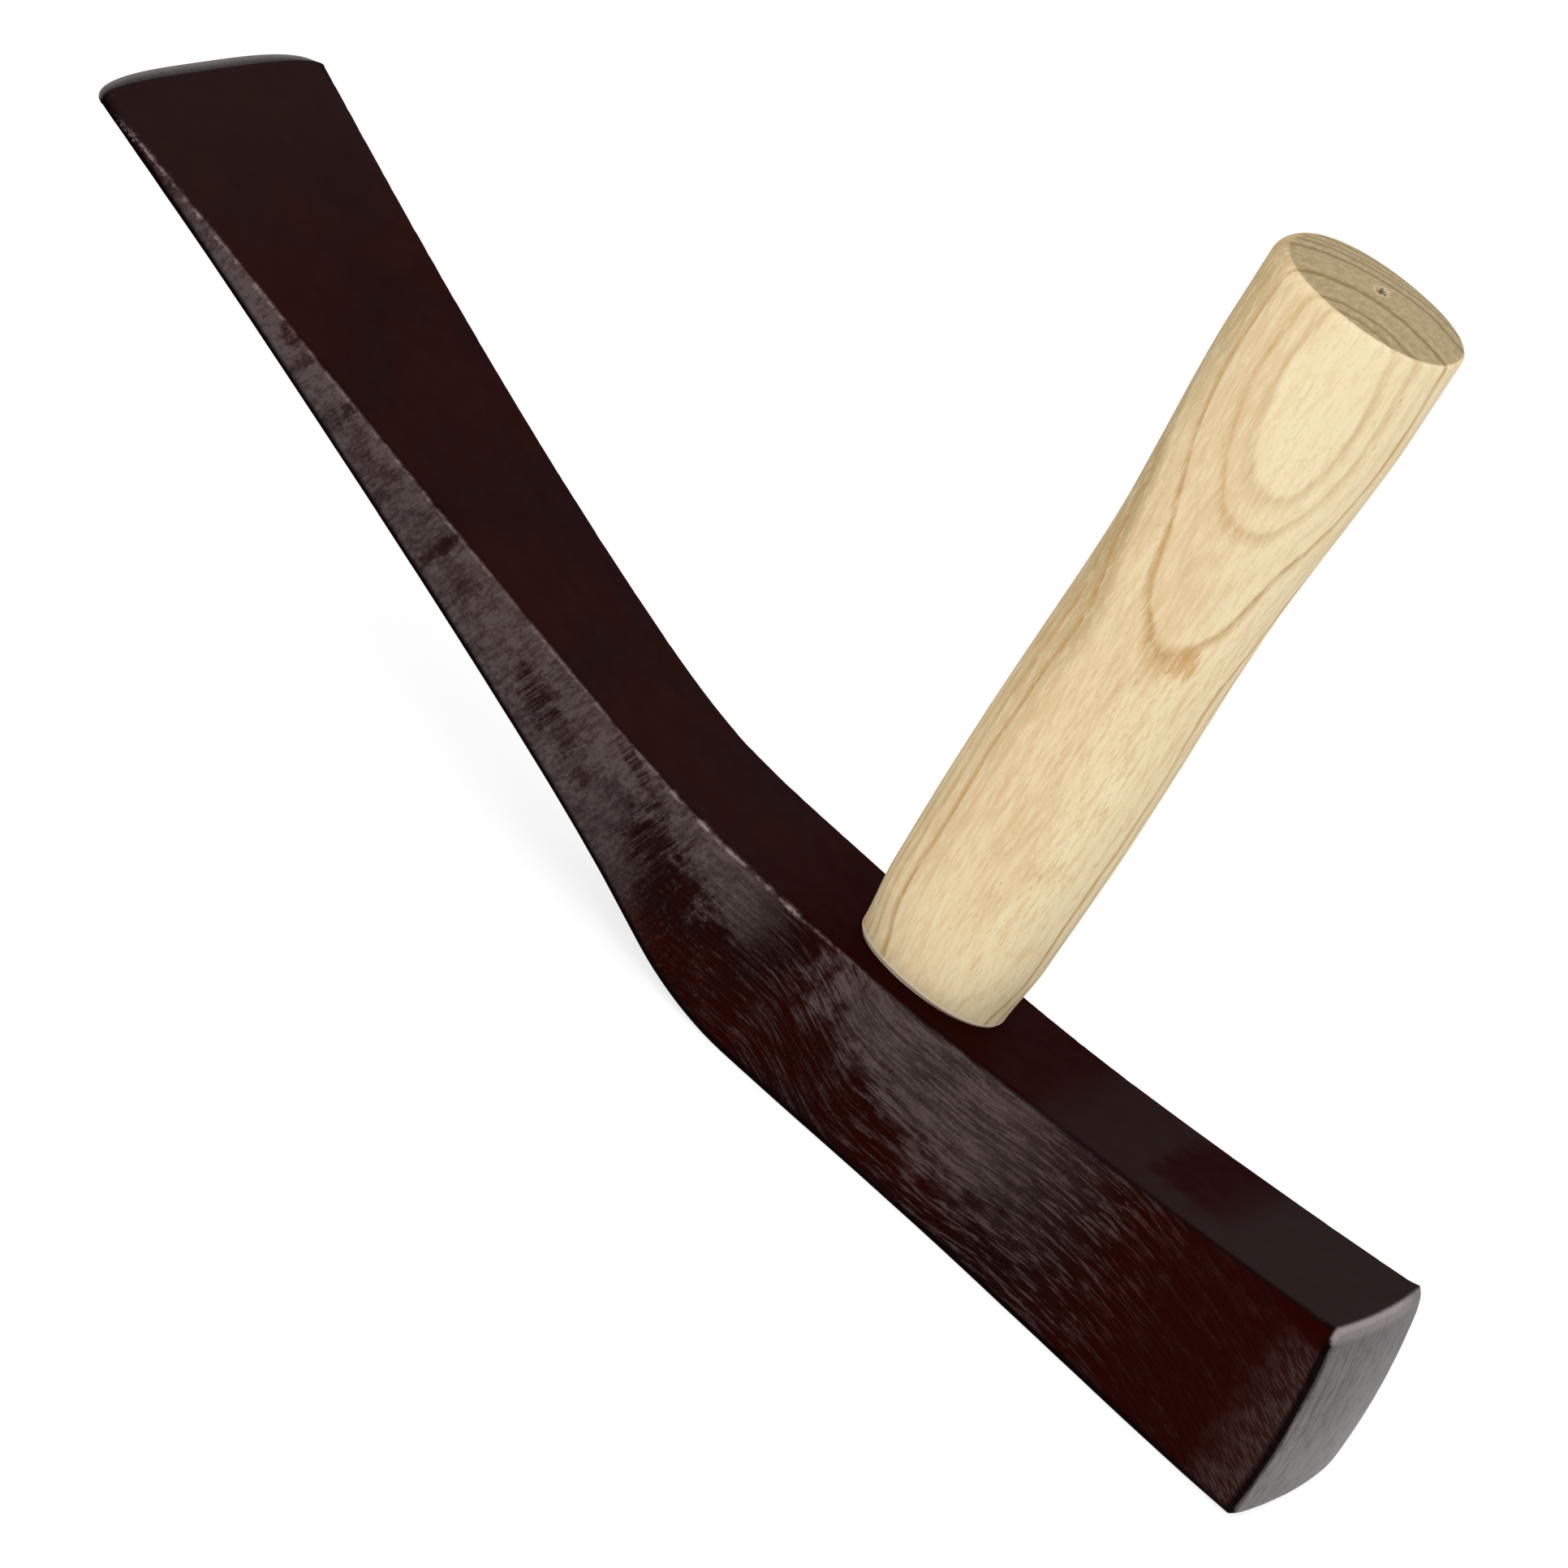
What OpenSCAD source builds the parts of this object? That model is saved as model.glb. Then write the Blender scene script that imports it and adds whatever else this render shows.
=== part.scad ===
// Paving hammer: one forged head with an upswept blade and a square hammer end,
// an oval ash handle driven through the eye, and the wedges that hold it.
// +X points to the striking face, +Z along the handle. The origin lies halfway
// along the head, on the plane of the flat underside, in the middle plane.

/* [Head] */
// Bend of the underside to the middle of the blade's cutting edge, along X
blade_length = 192; // [150:1:240]
// Bend of the underside to the crown of the striking face, along X
hammer_length = 146; // [115:1:180]
// Width of the blade at its cutting edge
blade_width = 72.6; // [50:0.2:90]
// Width of the head at its waist, before the cheeks swell
waist_width = 32.2; // [30:0.2:42]
// Depth of the head at the root of the blade
root_depth = 33; // [26:0.5:42]
// Slope of the blade's underside, in degrees
blade_angle = 21.7; // [14:0.1:28]
// Radius of the bend in the underside
bend_radius = 75; // [20:1:100]
// Where the top starts to rise towards the blade, behind the bend
neck_back = 30; // [20:1:50]
// Softness of the curve where the top rises towards the blade
neck_softness = 20; // [8:1:35]
// Where the blade starts to widen, behind the bend
flare_back = 26; // [15:1:50]
// Thickness of the blade where its bevel starts
blade_thickness = 1.5; // [1.2:0.1:4]
// Thickness of the ground cutting edge
edge_land = 0.4; // [0.3:0.1:1]
// How far the cutting edge stands out in the middle, beyond the blade's full width
edge_bow = 5.8; // [3.5:0.1:9]
// Width of the bevel ground along the cutting edge
bevel_width = 2.8; // [1:0.1:3.2]
// Hollow of the blade's upper face
blade_hollow = 0.7; // [0:0.1:1.5]
// Radius of the head's long edges
long_edge_round = 1.3; // [0.5:0.1:3]

/* [Striking face] */
// Width at the top of the striking face
face_top_width = 35; // [28:0.2:44]
// Width at the bottom of the striking face
face_bottom_width = 40.6; // [28:0.2:48]
// Height of the striking face
face_height = 42.8; // [34:0.2:56]
// Height of the crown over the face's corners
face_crown = 3; // [1:0.1:5]
// How much further the lower edge of the face stands out than its upper edge
face_lean = 3.8; // [0:0.1:6]
// Bevel round the striking face
face_bevel = 1.2; // [0.4:0.1:2.5]
// Radius of the face's lower corners
face_corner_round = 3; // [1:0.1:6]
// Height of the worn facet under the top edges at the face
facet_height = 3.6; // [1:0.1:6]
// Length over which that facet runs out
facet_length = 42; // [20:1:60]

/* [Eye] */
// Eye centre from the bend of the underside
eye_from_bend = 33.6; // [30:0.1:44]
// Long half width of the eye at its neck
eye_long = 15.4; // [12.5:0.1:19]
// Short half width of the eye at its neck
eye_short = 10; // [8.2:0.1:12.2]
// Share of the head's depth, from below, at which the eye is narrowest
eye_neck = 0.62; // [0.4:0.01:0.8]
// How far the eye opens out on each side at the underside
eye_flare = 1.5; // [0.4:0.1:2]
// How far the eye opens out on each side at its upper mouth
eye_top_flare = 0.4; // [0:0.1:1]
// Chamfer round the eye's upper mouth
eye_chamfer = 0.5; // [0.2:0.1:1.2]
// Swell of each cheek between the bend and the eye
cheek_swell = 1.5; // [0:0.1:4]
// Clearance between the tenon and the eye
eye_fit = 0.1; // [0.05:0.01:0.3]

/* [Handle] */
// Handle end above the underside of the head
handle_length = 195; // [160:1:300]
// How far the handle's end leans towards the face
handle_lean = 1.25; // [0:0.05:5]
// Shoulder of the handle over the tenon, all round
shoulder_width = 0.8; // [0.4:0.1:2]
// Gap between the shoulder and the top of the head
shoulder_gap = 0.5; // [0.3:0.1:2]
// Long half width of the grip at its narrowest
grip_long = 17.6; // [16:0.1:21]
// Short half width of the grip at its narrowest
grip_short = 11.7; // [10:0.1:15]
// Swell of the grip below its narrowest place
grip_swell = 0.7; // [0:0.1:2]
// Length over which the handle widens above its shoulder
grip_rise = 15; // [8:1:40]
// Long half width of the knob at the end
knob_long = 20; // [17:0.1:24]
// Short half width of the knob at the end
knob_short = 13.6; // [11:0.1:18]
// Roundness of the section: 2 is an ellipse, more is squarer
oval_power = 2.2; // [2:0.05:3]
// Radius of the handle's end edge
end_round = 0.9; // [0.5:0.1:4]
// How much further the end's edge is rounded off on the blade's side
end_wear = 0.8; // [0:0.1:2]
// Slant of the sawn end, in degrees, higher on the +Y side
end_slant = 5; // [0:0.5:8]
// Dome of the handle's end
end_dome = 1.9; // [0.4:0.1:3]
// Tenon and wedges stop this far inside the underside
tenon_recess = 0.5; // [0.2:0.1:2]
// End of the saw kerf below the top of the head
kerf_end_gap = 4.5; // [2:0.5:8]
// Width of the saw kerf
kerf_width = 1.4; // [1:0.1:2]

/* [Wedges] */
// Tip of the wooden wedge below the top of the head
wood_tip_gap = 8; // [4:0.5:14]
// Thickness of the wooden wedge at its head
wood_wedge_head = 5.2; // [3:0.1:7]
// Thickness of the wooden wedge at its tip
wood_wedge_tip = 1.8; // [1.6:0.1:3]
// Tip of each steel wedge below the top of the head
steel_tip_gap = 12; // [6:0.5:18]
// Wood left between each end of a steel wedge and the eye's neck, across the head
steel_side_gap = 2.5; // [2:0.1:4.5]
// Thickness of each steel wedge at its head
steel_wedge_head = 3.4; // [2:0.1:5]
// Thickness of each steel wedge at its tip
steel_wedge_tip = 0.8; // [0.5:0.1:1.5]
// Middle of each steel wedge from the end of the eye's neck, along the head
steel_end_gap = 7.8; // [7:0.1:9.5]
// Steps of the barbs on each flank of a steel wedge
barb_count = 4; // [2:1:6]
// Depth of each barb
barb_depth = 0.3; // [0.1:0.05:0.5]
// Clearance between a wedge and the slot that it fills
wedge_fit = 0.06; // [0.03:0.01:0.2]

/* [Hidden] */

head_length = blade_length + hammer_length;
bend_x = head_length / 2 - hammer_length;
peak_at = min(1, face_lean / (2 * face_crown));
face_peak = face_crown * (1 - peak_at * peak_at / 2) + face_lean / 2 * peak_at;
face_edge = hammer_length - face_peak;
bevel_start = -(blade_length - edge_bow);
eye_x = bend_x + eye_from_bend;

blade_slope = tan(blade_angle);
bend_reach = bend_radius * tan(blade_angle / 2);
flare_power = 1.5;
blade_flare_power = 1.4;
cheek_from_bend = 12;
cheek_reach = 62;
top_flare_from = 31;
side_flare_from = 10;
corner_steps = 3;
side_steps = 2;
cap_steps = 10;
side_share = 0.12;
facet_lean = 0.6;
blade_stations = 24;
bend_stations = 5;
hammer_stations = 20;
face_steps = 7;
face_inner_share = 0.06;
corner_bow = 0.5;
edge_squareness = 3;
oval_points = 48;
eye_stations = 8;
handle_stations = 26;
wear_height = 2.4;
swell_at = 0.28;
swell_reach = 0.3;
knob_from = 0.57;
knob_over = 0.32;
dome_steps = 3;
pit_depth = 1.2;
pit_rim_share = 0.1;
pit_share = 0.03;
barbs_from = 4;
barbs_to_tip = 3;
barb_undercut = 0.4;
barb_gap = 0.8;
overcut = 2;

function clamp01(v) = max(0, min(1, v));
function mix(a, b, t) = a + (b - a) * t;
function smooth(t) = let (s = clamp01(t)) s * s * (3 - 2 * s);
function ease(v, from, to, power) = pow(clamp01((v - from) / (to - from)), power);

// Side view of the head: u runs along X from the bend, positive to the face
function underside(u) =
    u >= bend_reach ? 0
    : u > bend_reach - bend_radius * sin(blade_angle)
        ? bend_radius - sqrt(pow(bend_radius, 2) - pow(bend_reach - u, 2))
        : -u * blade_slope;
function neck_curve(u) =
    (sqrt(pow(u + neck_back, 2) + pow(neck_softness, 2)) - (u + neck_back)) / 2;
neck_rise = (underside(bevel_start) + blade_thickness - root_depth) / neck_curve(bevel_start);
face_rise = face_height - root_depth - neck_rise * neck_curve(face_edge);
function hollow(u) =
    blade_hollow * pow(sin(180 * clamp01((-u - neck_back) / (-bevel_start - neck_back))), 2);
function topside(u) =
    root_depth + neck_rise * neck_curve(u) - hollow(u)
    + face_rise * ease(u, top_flare_from, face_edge, flare_power);

// Plan view of the head: half widths at the top and bottom edges
function cheek(u) =
    abs(u - cheek_from_bend) < cheek_reach
        ? cheek_swell * pow(cos(90 * (u - cheek_from_bend) / cheek_reach), 2) : 0;
function waist(u) =
    waist_width / 2 + cheek(u)
    + (blade_width - waist_width) / 2 * ease(-u, flare_back, -bevel_start, blade_flare_power);
function half_top(u) =
    waist(u) + (face_top_width - waist_width) / 2
    * ease(u, eye_from_bend + eye_long, face_edge, flare_power);
function half_bottom(u) =
    waist(u) + (face_bottom_width - waist_width) / 2
    * ease(u, side_flare_from, face_edge, flare_power);

// One corner of the section as [half width, height] pairs: down or up the side
// from near the section's mid height, then round the corner
function corner(w, z, r, side_top, side_end, up) = concat(
    [for (k = [0 : side_steps])
        let (t = (k + 0.5) / (side_steps + 0.5))
        [mix(side_top[0], side_end[0], t), mix(side_top[1], side_end[1], t)]],
    [for (k = [0 : corner_steps])
        let (a = 90 * k / corner_steps) [w - r + r * cos(a), z + up * (r * sin(a) - r)]]
);
function row(half) = concat(
    half,
    [for (k = [1 : cap_steps - 1])
        let (last = half[len(half) - 1]) [last[0] * cos(180 * k / cap_steps), last[1]]],
    [for (k = [len(half) - 1 : -1 : 0]) [-half[k][0], half[k][1]]]
);
function reversed(list) = [for (k = [len(list) - 1 : -1 : 0]) list[k]];

// The section at u: bottom row from +Y to -Y, then top row back from -Y to +Y
function head_section(u) =
    let (
        zb = underside(u),
        zt = topside(u),
        depth = zt - zb,
        wb = half_bottom(u),
        wt = half_top(u),
        near_face = clamp01((u - face_edge + facet_length) / facet_length),
        rt = min(long_edge_round, depth * 0.25),
        rb = mix(rt, min(face_corner_round, depth * 0.25), pow(near_face, 3)),
        drop = max(depth * side_share / 2, facet_height * near_face - rt),
        low = zb + rb + depth * side_share,
        high = zt - rt - drop,
        lean = facet_lean * near_face,
        middle = [mix(wb, wt, 0.5) + lean / 2, (low + high) / 2],
        low_side = [mix(wb, wt, (low - zb) / depth), low],
        high_side = [mix(wb, wt, (high - zb) / depth) + lean, high]
    )
    concat(
        row(corner(wb, zb, rb, middle, low_side, -1)),
        reversed(row(corner(wt, zt, rt, middle, high_side, 1)))
    );

function at_u(u, section) = [for (p = section) [bend_x + u, p[0], p[1]]];

// Blade's end: beyond its full width it runs out to a bowed line with rounded corners,
// where a bevel grinds the upper face down to a thin land
function bow(y) =
    mix(corner_bow, edge_bow, sqrt(max(0, 1 - pow(abs(y) / (blade_width / 2), edge_squareness))));
function blade_end(share, thickness) =
    let (section = head_section(bevel_start), count = len(section))
    [for (k = [0 : count - 1])
        let (y = section[k][0], out = bow(y) * share, z = underside(bevel_start) + out * blade_slope)
        [bend_x + bevel_start - out, y, z + (k < count / 2 ? 0 : thickness)]];

// Striking face: rings shrink to the middle of a crowned surface
function crown(y, z) =
    let (across = y / (face_bottom_width / 2), up = z / (face_height / 2) - 1)
    face_crown * (1 - across * across / 2 - up * up / 2) - face_lean / 2 * up;
function face_ring(share, set_back) =
    [for (p = head_section(face_edge))
        let (y = p[0] * share, z = mix(face_height / 2, p[1], share))
        [bend_x + face_edge + crown(y, z) - set_back, y, z]];

function span(from, to, steps) = [for (k = [0 : steps]) mix(from, to, k / steps)];
head_stations = concat(
    span(bevel_start, -bend_reach, blade_stations),
    span(-bend_reach, bend_reach, bend_stations),
    span(bend_reach, face_edge - face_bevel - face_lean / 2 - 2, hammer_stations)
);
function without_repeats(list) =
    [for (k = [0 : len(list) - 1]) if (k == 0 || list[k] > list[k - 1] + 0.01) list[k]];

head_rings = concat(
    [blade_end(1, edge_land)],
    [blade_end(1 - bevel_width / edge_bow, blade_thickness)],
    [for (u = without_repeats(head_stations)) at_u(u, head_section(u))],
    [face_ring(1, face_bevel)],
    [for (share = span(1 - face_bevel * 2 / face_bottom_width, face_inner_share, face_steps))
        face_ring(share, 0)]
);

// Skin through rings of equal point counts, closed across each end by pairing
// point k with point count - 1 - k
module loft(rings) {
    count = len(rings[0]);
    last = (len(rings) - 1) * count;
    sides = [for (j = [0 : len(rings) - 2], k = [0 : count - 1])
        let (a = j * count + k, b = j * count + (k + 1) % count, c = b + count, d = a + count)
        each [[a, c, d], [a, b, c]]];
    near_end = [for (k = [0 : count / 2 - 2])
        let (a = k, b = k + 1, c = count - 2 - k, d = count - 1 - k)
        each [[a, c, b], [a, d, c]]];
    far_end = [for (k = [0 : count / 2 - 2])
        let (a = last + k, b = last + k + 1, c = last + count - 2 - k, d = last + count - 1 - k)
        each [[a, b, c], [a, c, d]]];
    polyhedron(
        points = [for (ring = rings) each ring],
        faces = concat(sides, near_end, far_end),
        convexity = 6
    );
}

// Oval ring round the handle's axis, half a step off the long axis at its ends
function signed_power(v, power) = sign(v) * pow(abs(v), power);
function oval(long, short, z, shift = 0) =
    [for (k = [oval_points - 1 : -1 : 0])
        let (a = 360 * (k + 0.5) / oval_points)
        [eye_x + shift + long * signed_power(cos(a), 2 / oval_power),
         short * signed_power(sin(a), 2 / oval_power), z]];

// The eye narrows from both mouths to its neck; the tenon follows it with a clearance
eye_top = topside(eye_from_bend);
neck_z = eye_top * eye_neck;
function eye_spread(z) =
    z < neck_z ? eye_flare * pow((neck_z - z) / neck_z, 1.5)
    : eye_top_flare * clamp01((z - neck_z) / (eye_top - neck_z));
function eye_ring(z, grow) =
    oval(eye_long + eye_spread(z) + grow, eye_short + eye_spread(z) + grow, z);

module eye() {
    levels = span(0, eye_top - eye_chamfer, eye_stations);
    lowest = levels[0];
    loft(concat(
        [[for (p = eye_ring(lowest, 0)) [p[0], p[1], -overcut]]],
        [for (z = levels) eye_ring(z, 0)],
        [eye_ring(eye_top, eye_chamfer)],
        [[for (p = eye_ring(eye_top, eye_chamfer * 2)) [p[0], p[1], eye_top + overcut]]]
    ));
}

module head() {
    color("#33201e")
        difference() {
            loft(head_rings);
            eye();
        }
}

// Handle above the eye: a shoulder, a grip with a slight swell, then the knob
shoulder_z = eye_top + shoulder_gap;
rim_long = eye_long + eye_top_flare - eye_fit + shoulder_width;
rim_short = eye_short + eye_top_flare - eye_fit + shoulder_width;
end_edge = handle_length - end_dome;
function along(z) = (z - eye_top) / (handle_length - eye_top);
function lean_at(z) = handle_lean * along(z);
function swell(z) =
    abs(along(z) - swell_at) < swell_reach
        ? grip_swell * pow(cos(90 * (along(z) - swell_at) / swell_reach), 2) : 0;
function half_width(z, rim, grip, knob) =
    mix(mix(rim, grip, smooth((z - shoulder_z) / grip_rise)), knob,
        smooth((along(z) - knob_from) / knob_over)) + swell(z);
function handle_ring(z, inset = 0) = oval(
    half_width(z, rim_long, grip_long, knob_long) - inset,
    half_width(z, rim_short, grip_short, knob_short) - inset,
    z, lean_at(z)
);
function shoulder_ring(a) =
    handle_ring(shoulder_z + shoulder_width * (1 - cos(a)), shoulder_width * (1 - sin(a)));
function slanted(ring) = [for (p = ring) [p[0], p[1], p[2] + p[1] * tan(end_slant)]];
function blade_side(x) = (1 - (x - eye_x) / knob_long) / 2;
function edge_ring(a) =
    let (inset = end_round * (1 - cos(a)), wear = end_wear * (1 - cos(a)))
    slanted([
        for (p = oval(knob_long - inset - wear, knob_short - inset, end_edge, handle_lean + wear))
            [p[0], p[1], p[2] - (end_round + wear_height * blade_side(p[0])) * (1 - sin(a))]
    ]);
function dome_ring(share, sink) = slanted(oval(
    (knob_long - end_round - end_wear) * share,
    (knob_short - end_round) * share,
    end_edge + end_dome * (1 - share * share) - sink,
    handle_lean + end_wear
));
tenon_levels = span(tenon_recess, eye_top, eye_stations);

grip_low = shoulder_z + grip_rise / 4;
grip_high = end_edge - end_round - wear_height - 2;
handle_rings = concat(
    [for (z = tenon_levels) eye_ring(z, -eye_fit)],
    [for (a = [0 : 30 : 90]) shoulder_ring(a)],
    [for (z = span(grip_low, grip_high, handle_stations)) handle_ring(z)],
    [for (a = [0 : 30 : 90]) edge_ring(a)],
    [for (share = span(0.8, pit_rim_share, dome_steps)) dome_ring(share, 0)],
    [dome_ring(pit_share, pit_depth)]
);

// Upright taper as an outline: half width and height at its foot and at its top
module taper(foot, top) {
    polygon([[-foot[0], foot[1]], [foot[0], foot[1]], [top[0], top[1]], [-top[0], top[1]]]);
}

// Wooden wedge across the tenon, and the kerf that it spreads
wood_top = eye_top - wood_tip_gap;
function wood_half(z) =
    mix(wood_wedge_head, wood_wedge_tip, (z - tenon_recess) / (wood_top - tenon_recess)) / 2;
module across_tenon() {
    translate([eye_x - eye_long * 2, 0, 0])
        rotate([90, 0, 90])
            linear_extrude(height = eye_long * 4)
                children();
}
module kerf() {
    low = tenon_recess - overcut;
    across_tenon() {
        taper([wood_half(low) + wedge_fit, low], [wood_half(wood_top) + wedge_fit, wood_top + wedge_fit]);
        taper([kerf_width / 2, low], [kerf_width / 2, eye_top - kerf_end_gap]);
    }
}

// Steel wedge as an outline along the eye: [X, Z], barbed on both flanks
steel_top = eye_top - steel_tip_gap;
steel_wedge_length = steel_top - tenon_recess;
steel_wedge_width = 2 * (eye_short - steel_side_gap);
steel_wedge_offset = eye_long - steel_end_gap;
function steel_half(z) =
    mix(steel_wedge_head, steel_wedge_tip, (z - tenon_recess) / steel_wedge_length) / 2;
function barbed_flank() =
    [for (k = [0 : barb_count - 1])
        let (
            pitch = (steel_wedge_length - barbs_from - barbs_to_tip) / barb_count,
            low = tenon_recess + barbs_from + k * pitch,
            high = low + pitch - barb_gap
        )
        each [
            [steel_half(low), low],
            [steel_half(low) - barb_depth, low + barb_undercut],
            [steel_half(high), high]
        ]];
module steel_outline() {
    flank = concat(
        [[steel_half(tenon_recess), tenon_recess]],
        barbed_flank(),
        [[steel_half(steel_top), steel_top]]
    );
    polygon(concat(flank, [for (p = reversed(flank)) [-p[0], p[1]]]));
}
module along_eye(offset_x, width) {
    translate([eye_x + offset_x, width / 2, 0])
        rotate([90, 0, 0])
            linear_extrude(height = width)
                children();
}
module wedge_slots() {
    low = tenon_recess - overcut;
    for (side = [-1, 1])
        along_eye(side * steel_wedge_offset, steel_wedge_width + 2 * wedge_fit)
            taper([steel_half(low) + wedge_fit, low],
                  [steel_half(steel_top) + wedge_fit, steel_top + wedge_fit]);
}

module handle() {
    color("#e3cf9d")
        difference() {
            loft(handle_rings);
            kerf();
            wedge_slots();
        }
}

module wood_wedge() {
    color("#c9a66b")
        difference() {
            intersection() {
                loft([for (z = tenon_levels) eye_ring(z, -eye_fit)]);
                across_tenon()
                    taper([wood_half(tenon_recess), tenon_recess], [wood_half(wood_top), wood_top]);
            }
            wedge_slots();
        }
}

module steel_wedge(side) {
    color("#8e9094")
        along_eye(side * steel_wedge_offset, steel_wedge_width) steel_outline();
}
module steel_wedge_blade_side() { steel_wedge(-1); }
module steel_wedge_face_side() { steel_wedge(1); }

head();
handle();
wood_wedge();
steel_wedge_blade_side();
steel_wedge_face_side();
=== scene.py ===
import math
from types import SimpleNamespace

import bmesh
import bpy
import numpy as np
from mathutils import Matrix, Vector


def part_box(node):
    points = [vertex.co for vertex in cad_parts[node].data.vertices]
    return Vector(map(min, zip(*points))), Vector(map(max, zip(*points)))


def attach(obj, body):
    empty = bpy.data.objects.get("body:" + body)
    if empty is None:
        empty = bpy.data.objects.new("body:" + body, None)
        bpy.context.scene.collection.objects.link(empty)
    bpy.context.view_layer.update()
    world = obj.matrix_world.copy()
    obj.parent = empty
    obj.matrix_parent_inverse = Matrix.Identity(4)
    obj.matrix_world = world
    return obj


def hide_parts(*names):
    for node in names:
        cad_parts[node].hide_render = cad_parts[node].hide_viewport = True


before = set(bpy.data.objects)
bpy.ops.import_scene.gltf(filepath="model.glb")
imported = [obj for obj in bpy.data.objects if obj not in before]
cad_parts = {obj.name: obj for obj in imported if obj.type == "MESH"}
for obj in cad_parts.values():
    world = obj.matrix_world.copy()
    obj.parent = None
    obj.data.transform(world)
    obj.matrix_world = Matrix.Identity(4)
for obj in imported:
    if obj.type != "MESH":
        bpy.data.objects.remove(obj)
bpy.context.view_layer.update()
mm = 0.001
print("frame loaded:", ", ".join(sorted(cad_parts)))


# Small helpers for node trees: a Field is a socket that can be used in plain formulas
class Field:
    def __init__(self, tree, socket):
        self.tree = tree
        self.socket = socket

    def math(self, operation, *others):
        return addNode(self.tree, "ShaderNodeMath", dict(enumerate((self, *others))), operation=operation)

    def __add__(self, other):
        return self.math("ADD", other)

    def __sub__(self, other):
        return self.math("SUBTRACT", other)

    def __mul__(self, other):
        return self.math("MULTIPLY", other)

    def __truediv__(self, other):
        return self.math("DIVIDE", other)

    def __pow__(self, other):
        return self.math("POWER", other)

    def __rsub__(self, other):
        return (self * -1.0) + other

    def __rtruediv__(self, other):
        return (self ** -1.0) * other

    __radd__ = __add__
    __rmul__ = __mul__

    def ramp(self, start, stop, low=0.0, high=1.0, smooth=True):
        kind = "SMOOTHSTEP" if smooth else "LINEAR"
        values = {0: self, 1: start, 2: stop, 3: low, 4: high}
        return addNode(self.tree, "ShaderNodeMapRange", values, interpolation_type=kind)


def addNode(tree, kind, values=None, output=0, **settings):
    made = tree.nodes.new(kind)
    for name, value in settings.items():
        setattr(made, name, value)
    for key, value in (values or {}).items():
        if isinstance(value, Field):
            tree.links.new(value.socket, made.inputs[key])
        else:
            made.inputs[key].default_value = value
    return Field(tree, made.outputs[output])


def vectorMath(a, operation, b):
    return addNode(a.tree, "ShaderNodeVectorMath", {0: a, 1: b}, operation=operation)


def splitVector(vector):
    parts = addNode(vector.tree, "ShaderNodeSeparateXYZ", {0: vector})
    return [Field(vector.tree, parts.socket.node.outputs[k]) for k in range(3)]


def treeOf(*values):
    return next(v.tree for v in values if isinstance(v, Field))


def joinVector(x, y, z):
    return addNode(treeOf(x, y, z), "ShaderNodeCombineXYZ", {0: x, 1: y, 2: z})


def inMillimetres(place):
    return vectorMath(place, "MULTIPLY", (1 / mm, 1 / mm, 1 / mm))


# Noise from 0 to 1 around 0.5; grains are the sizes in mm of its lumps along x, y and z
def noise(place, grains, detail=3.0, roughness=0.55, shift=0.0, distortion=0.0):
    scaled = vectorMath(place, "MULTIPLY", tuple(1.0 / g for g in grains))
    moved = vectorMath(scaled, "ADD", (shift, shift * 0.7, shift * 1.3))
    return addNode(place.tree, "ShaderNodeTexNoise", {
        "Vector": moved, "Scale": 1.0, "Detail": detail, "Roughness": roughness, "Distortion": distortion})


# sRGB values from 0 to 255, as a linear colour
def paint(red, green, blue):
    def linear(v):
        v = v / 255
        return v / 12.92 if v <= 0.04045 else ((v + 0.055) / 1.055) ** 2.4
    return (linear(red), linear(green), linear(blue), 1.0)


def paintAll(colours):
    return SimpleNamespace(**{name: paint(*values) for name, values in colours.items()})


def mixColour(share, a, b):
    values = {0: share, 6: a, 7: b}
    return addNode(treeOf(share, a, b), "ShaderNodeMix", values, output=2, data_type="RGBA")


def mixValue(share, a, b):
    return addNode(treeOf(share, a, b), "ShaderNodeMix", {0: share, 2: a, 3: b})


def colourRamp(value, stops):
    ramp = addNode(value.tree, "ShaderNodeValToRGB", {0: value})
    elements = ramp.socket.node.color_ramp.elements
    while len(elements) < len(stops):
        elements.new(0.5)
    for element, (place, colour) in zip(elements, stops):
        element.position = place
        element.color = colour
    return ramp


# A material, its shader and the place on the piece in mm
def newMaterial(name):
    material = bpy.data.materials.new(name)
    material.use_nodes = True
    tree = material.node_tree
    place = addNode(tree, "ShaderNodeTexCoord", output="Object")
    return material, tree.nodes["Principled BSDF"], inMillimetres(place)


def attribute(tree, name):
    return addNode(tree, "ShaderNodeAttribute", output="Fac", attribute_name=name)


def plug(field, socket):
    field.tree.links.new(field.socket, socket)


# Colour, roughness and bump of a surface; the bump's depth is in mm
def dress(shader, colour, roughness, height, depth, strength):
    plug(colour, shader.inputs["Base Color"])
    plug(roughness, shader.inputs["Roughness"])
    values = {"Height": height, "Strength": strength, "Distance": depth * mm}
    plug(addNode(height.tree, "ShaderNodeBump", values), shader.inputs["Normal"])


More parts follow.
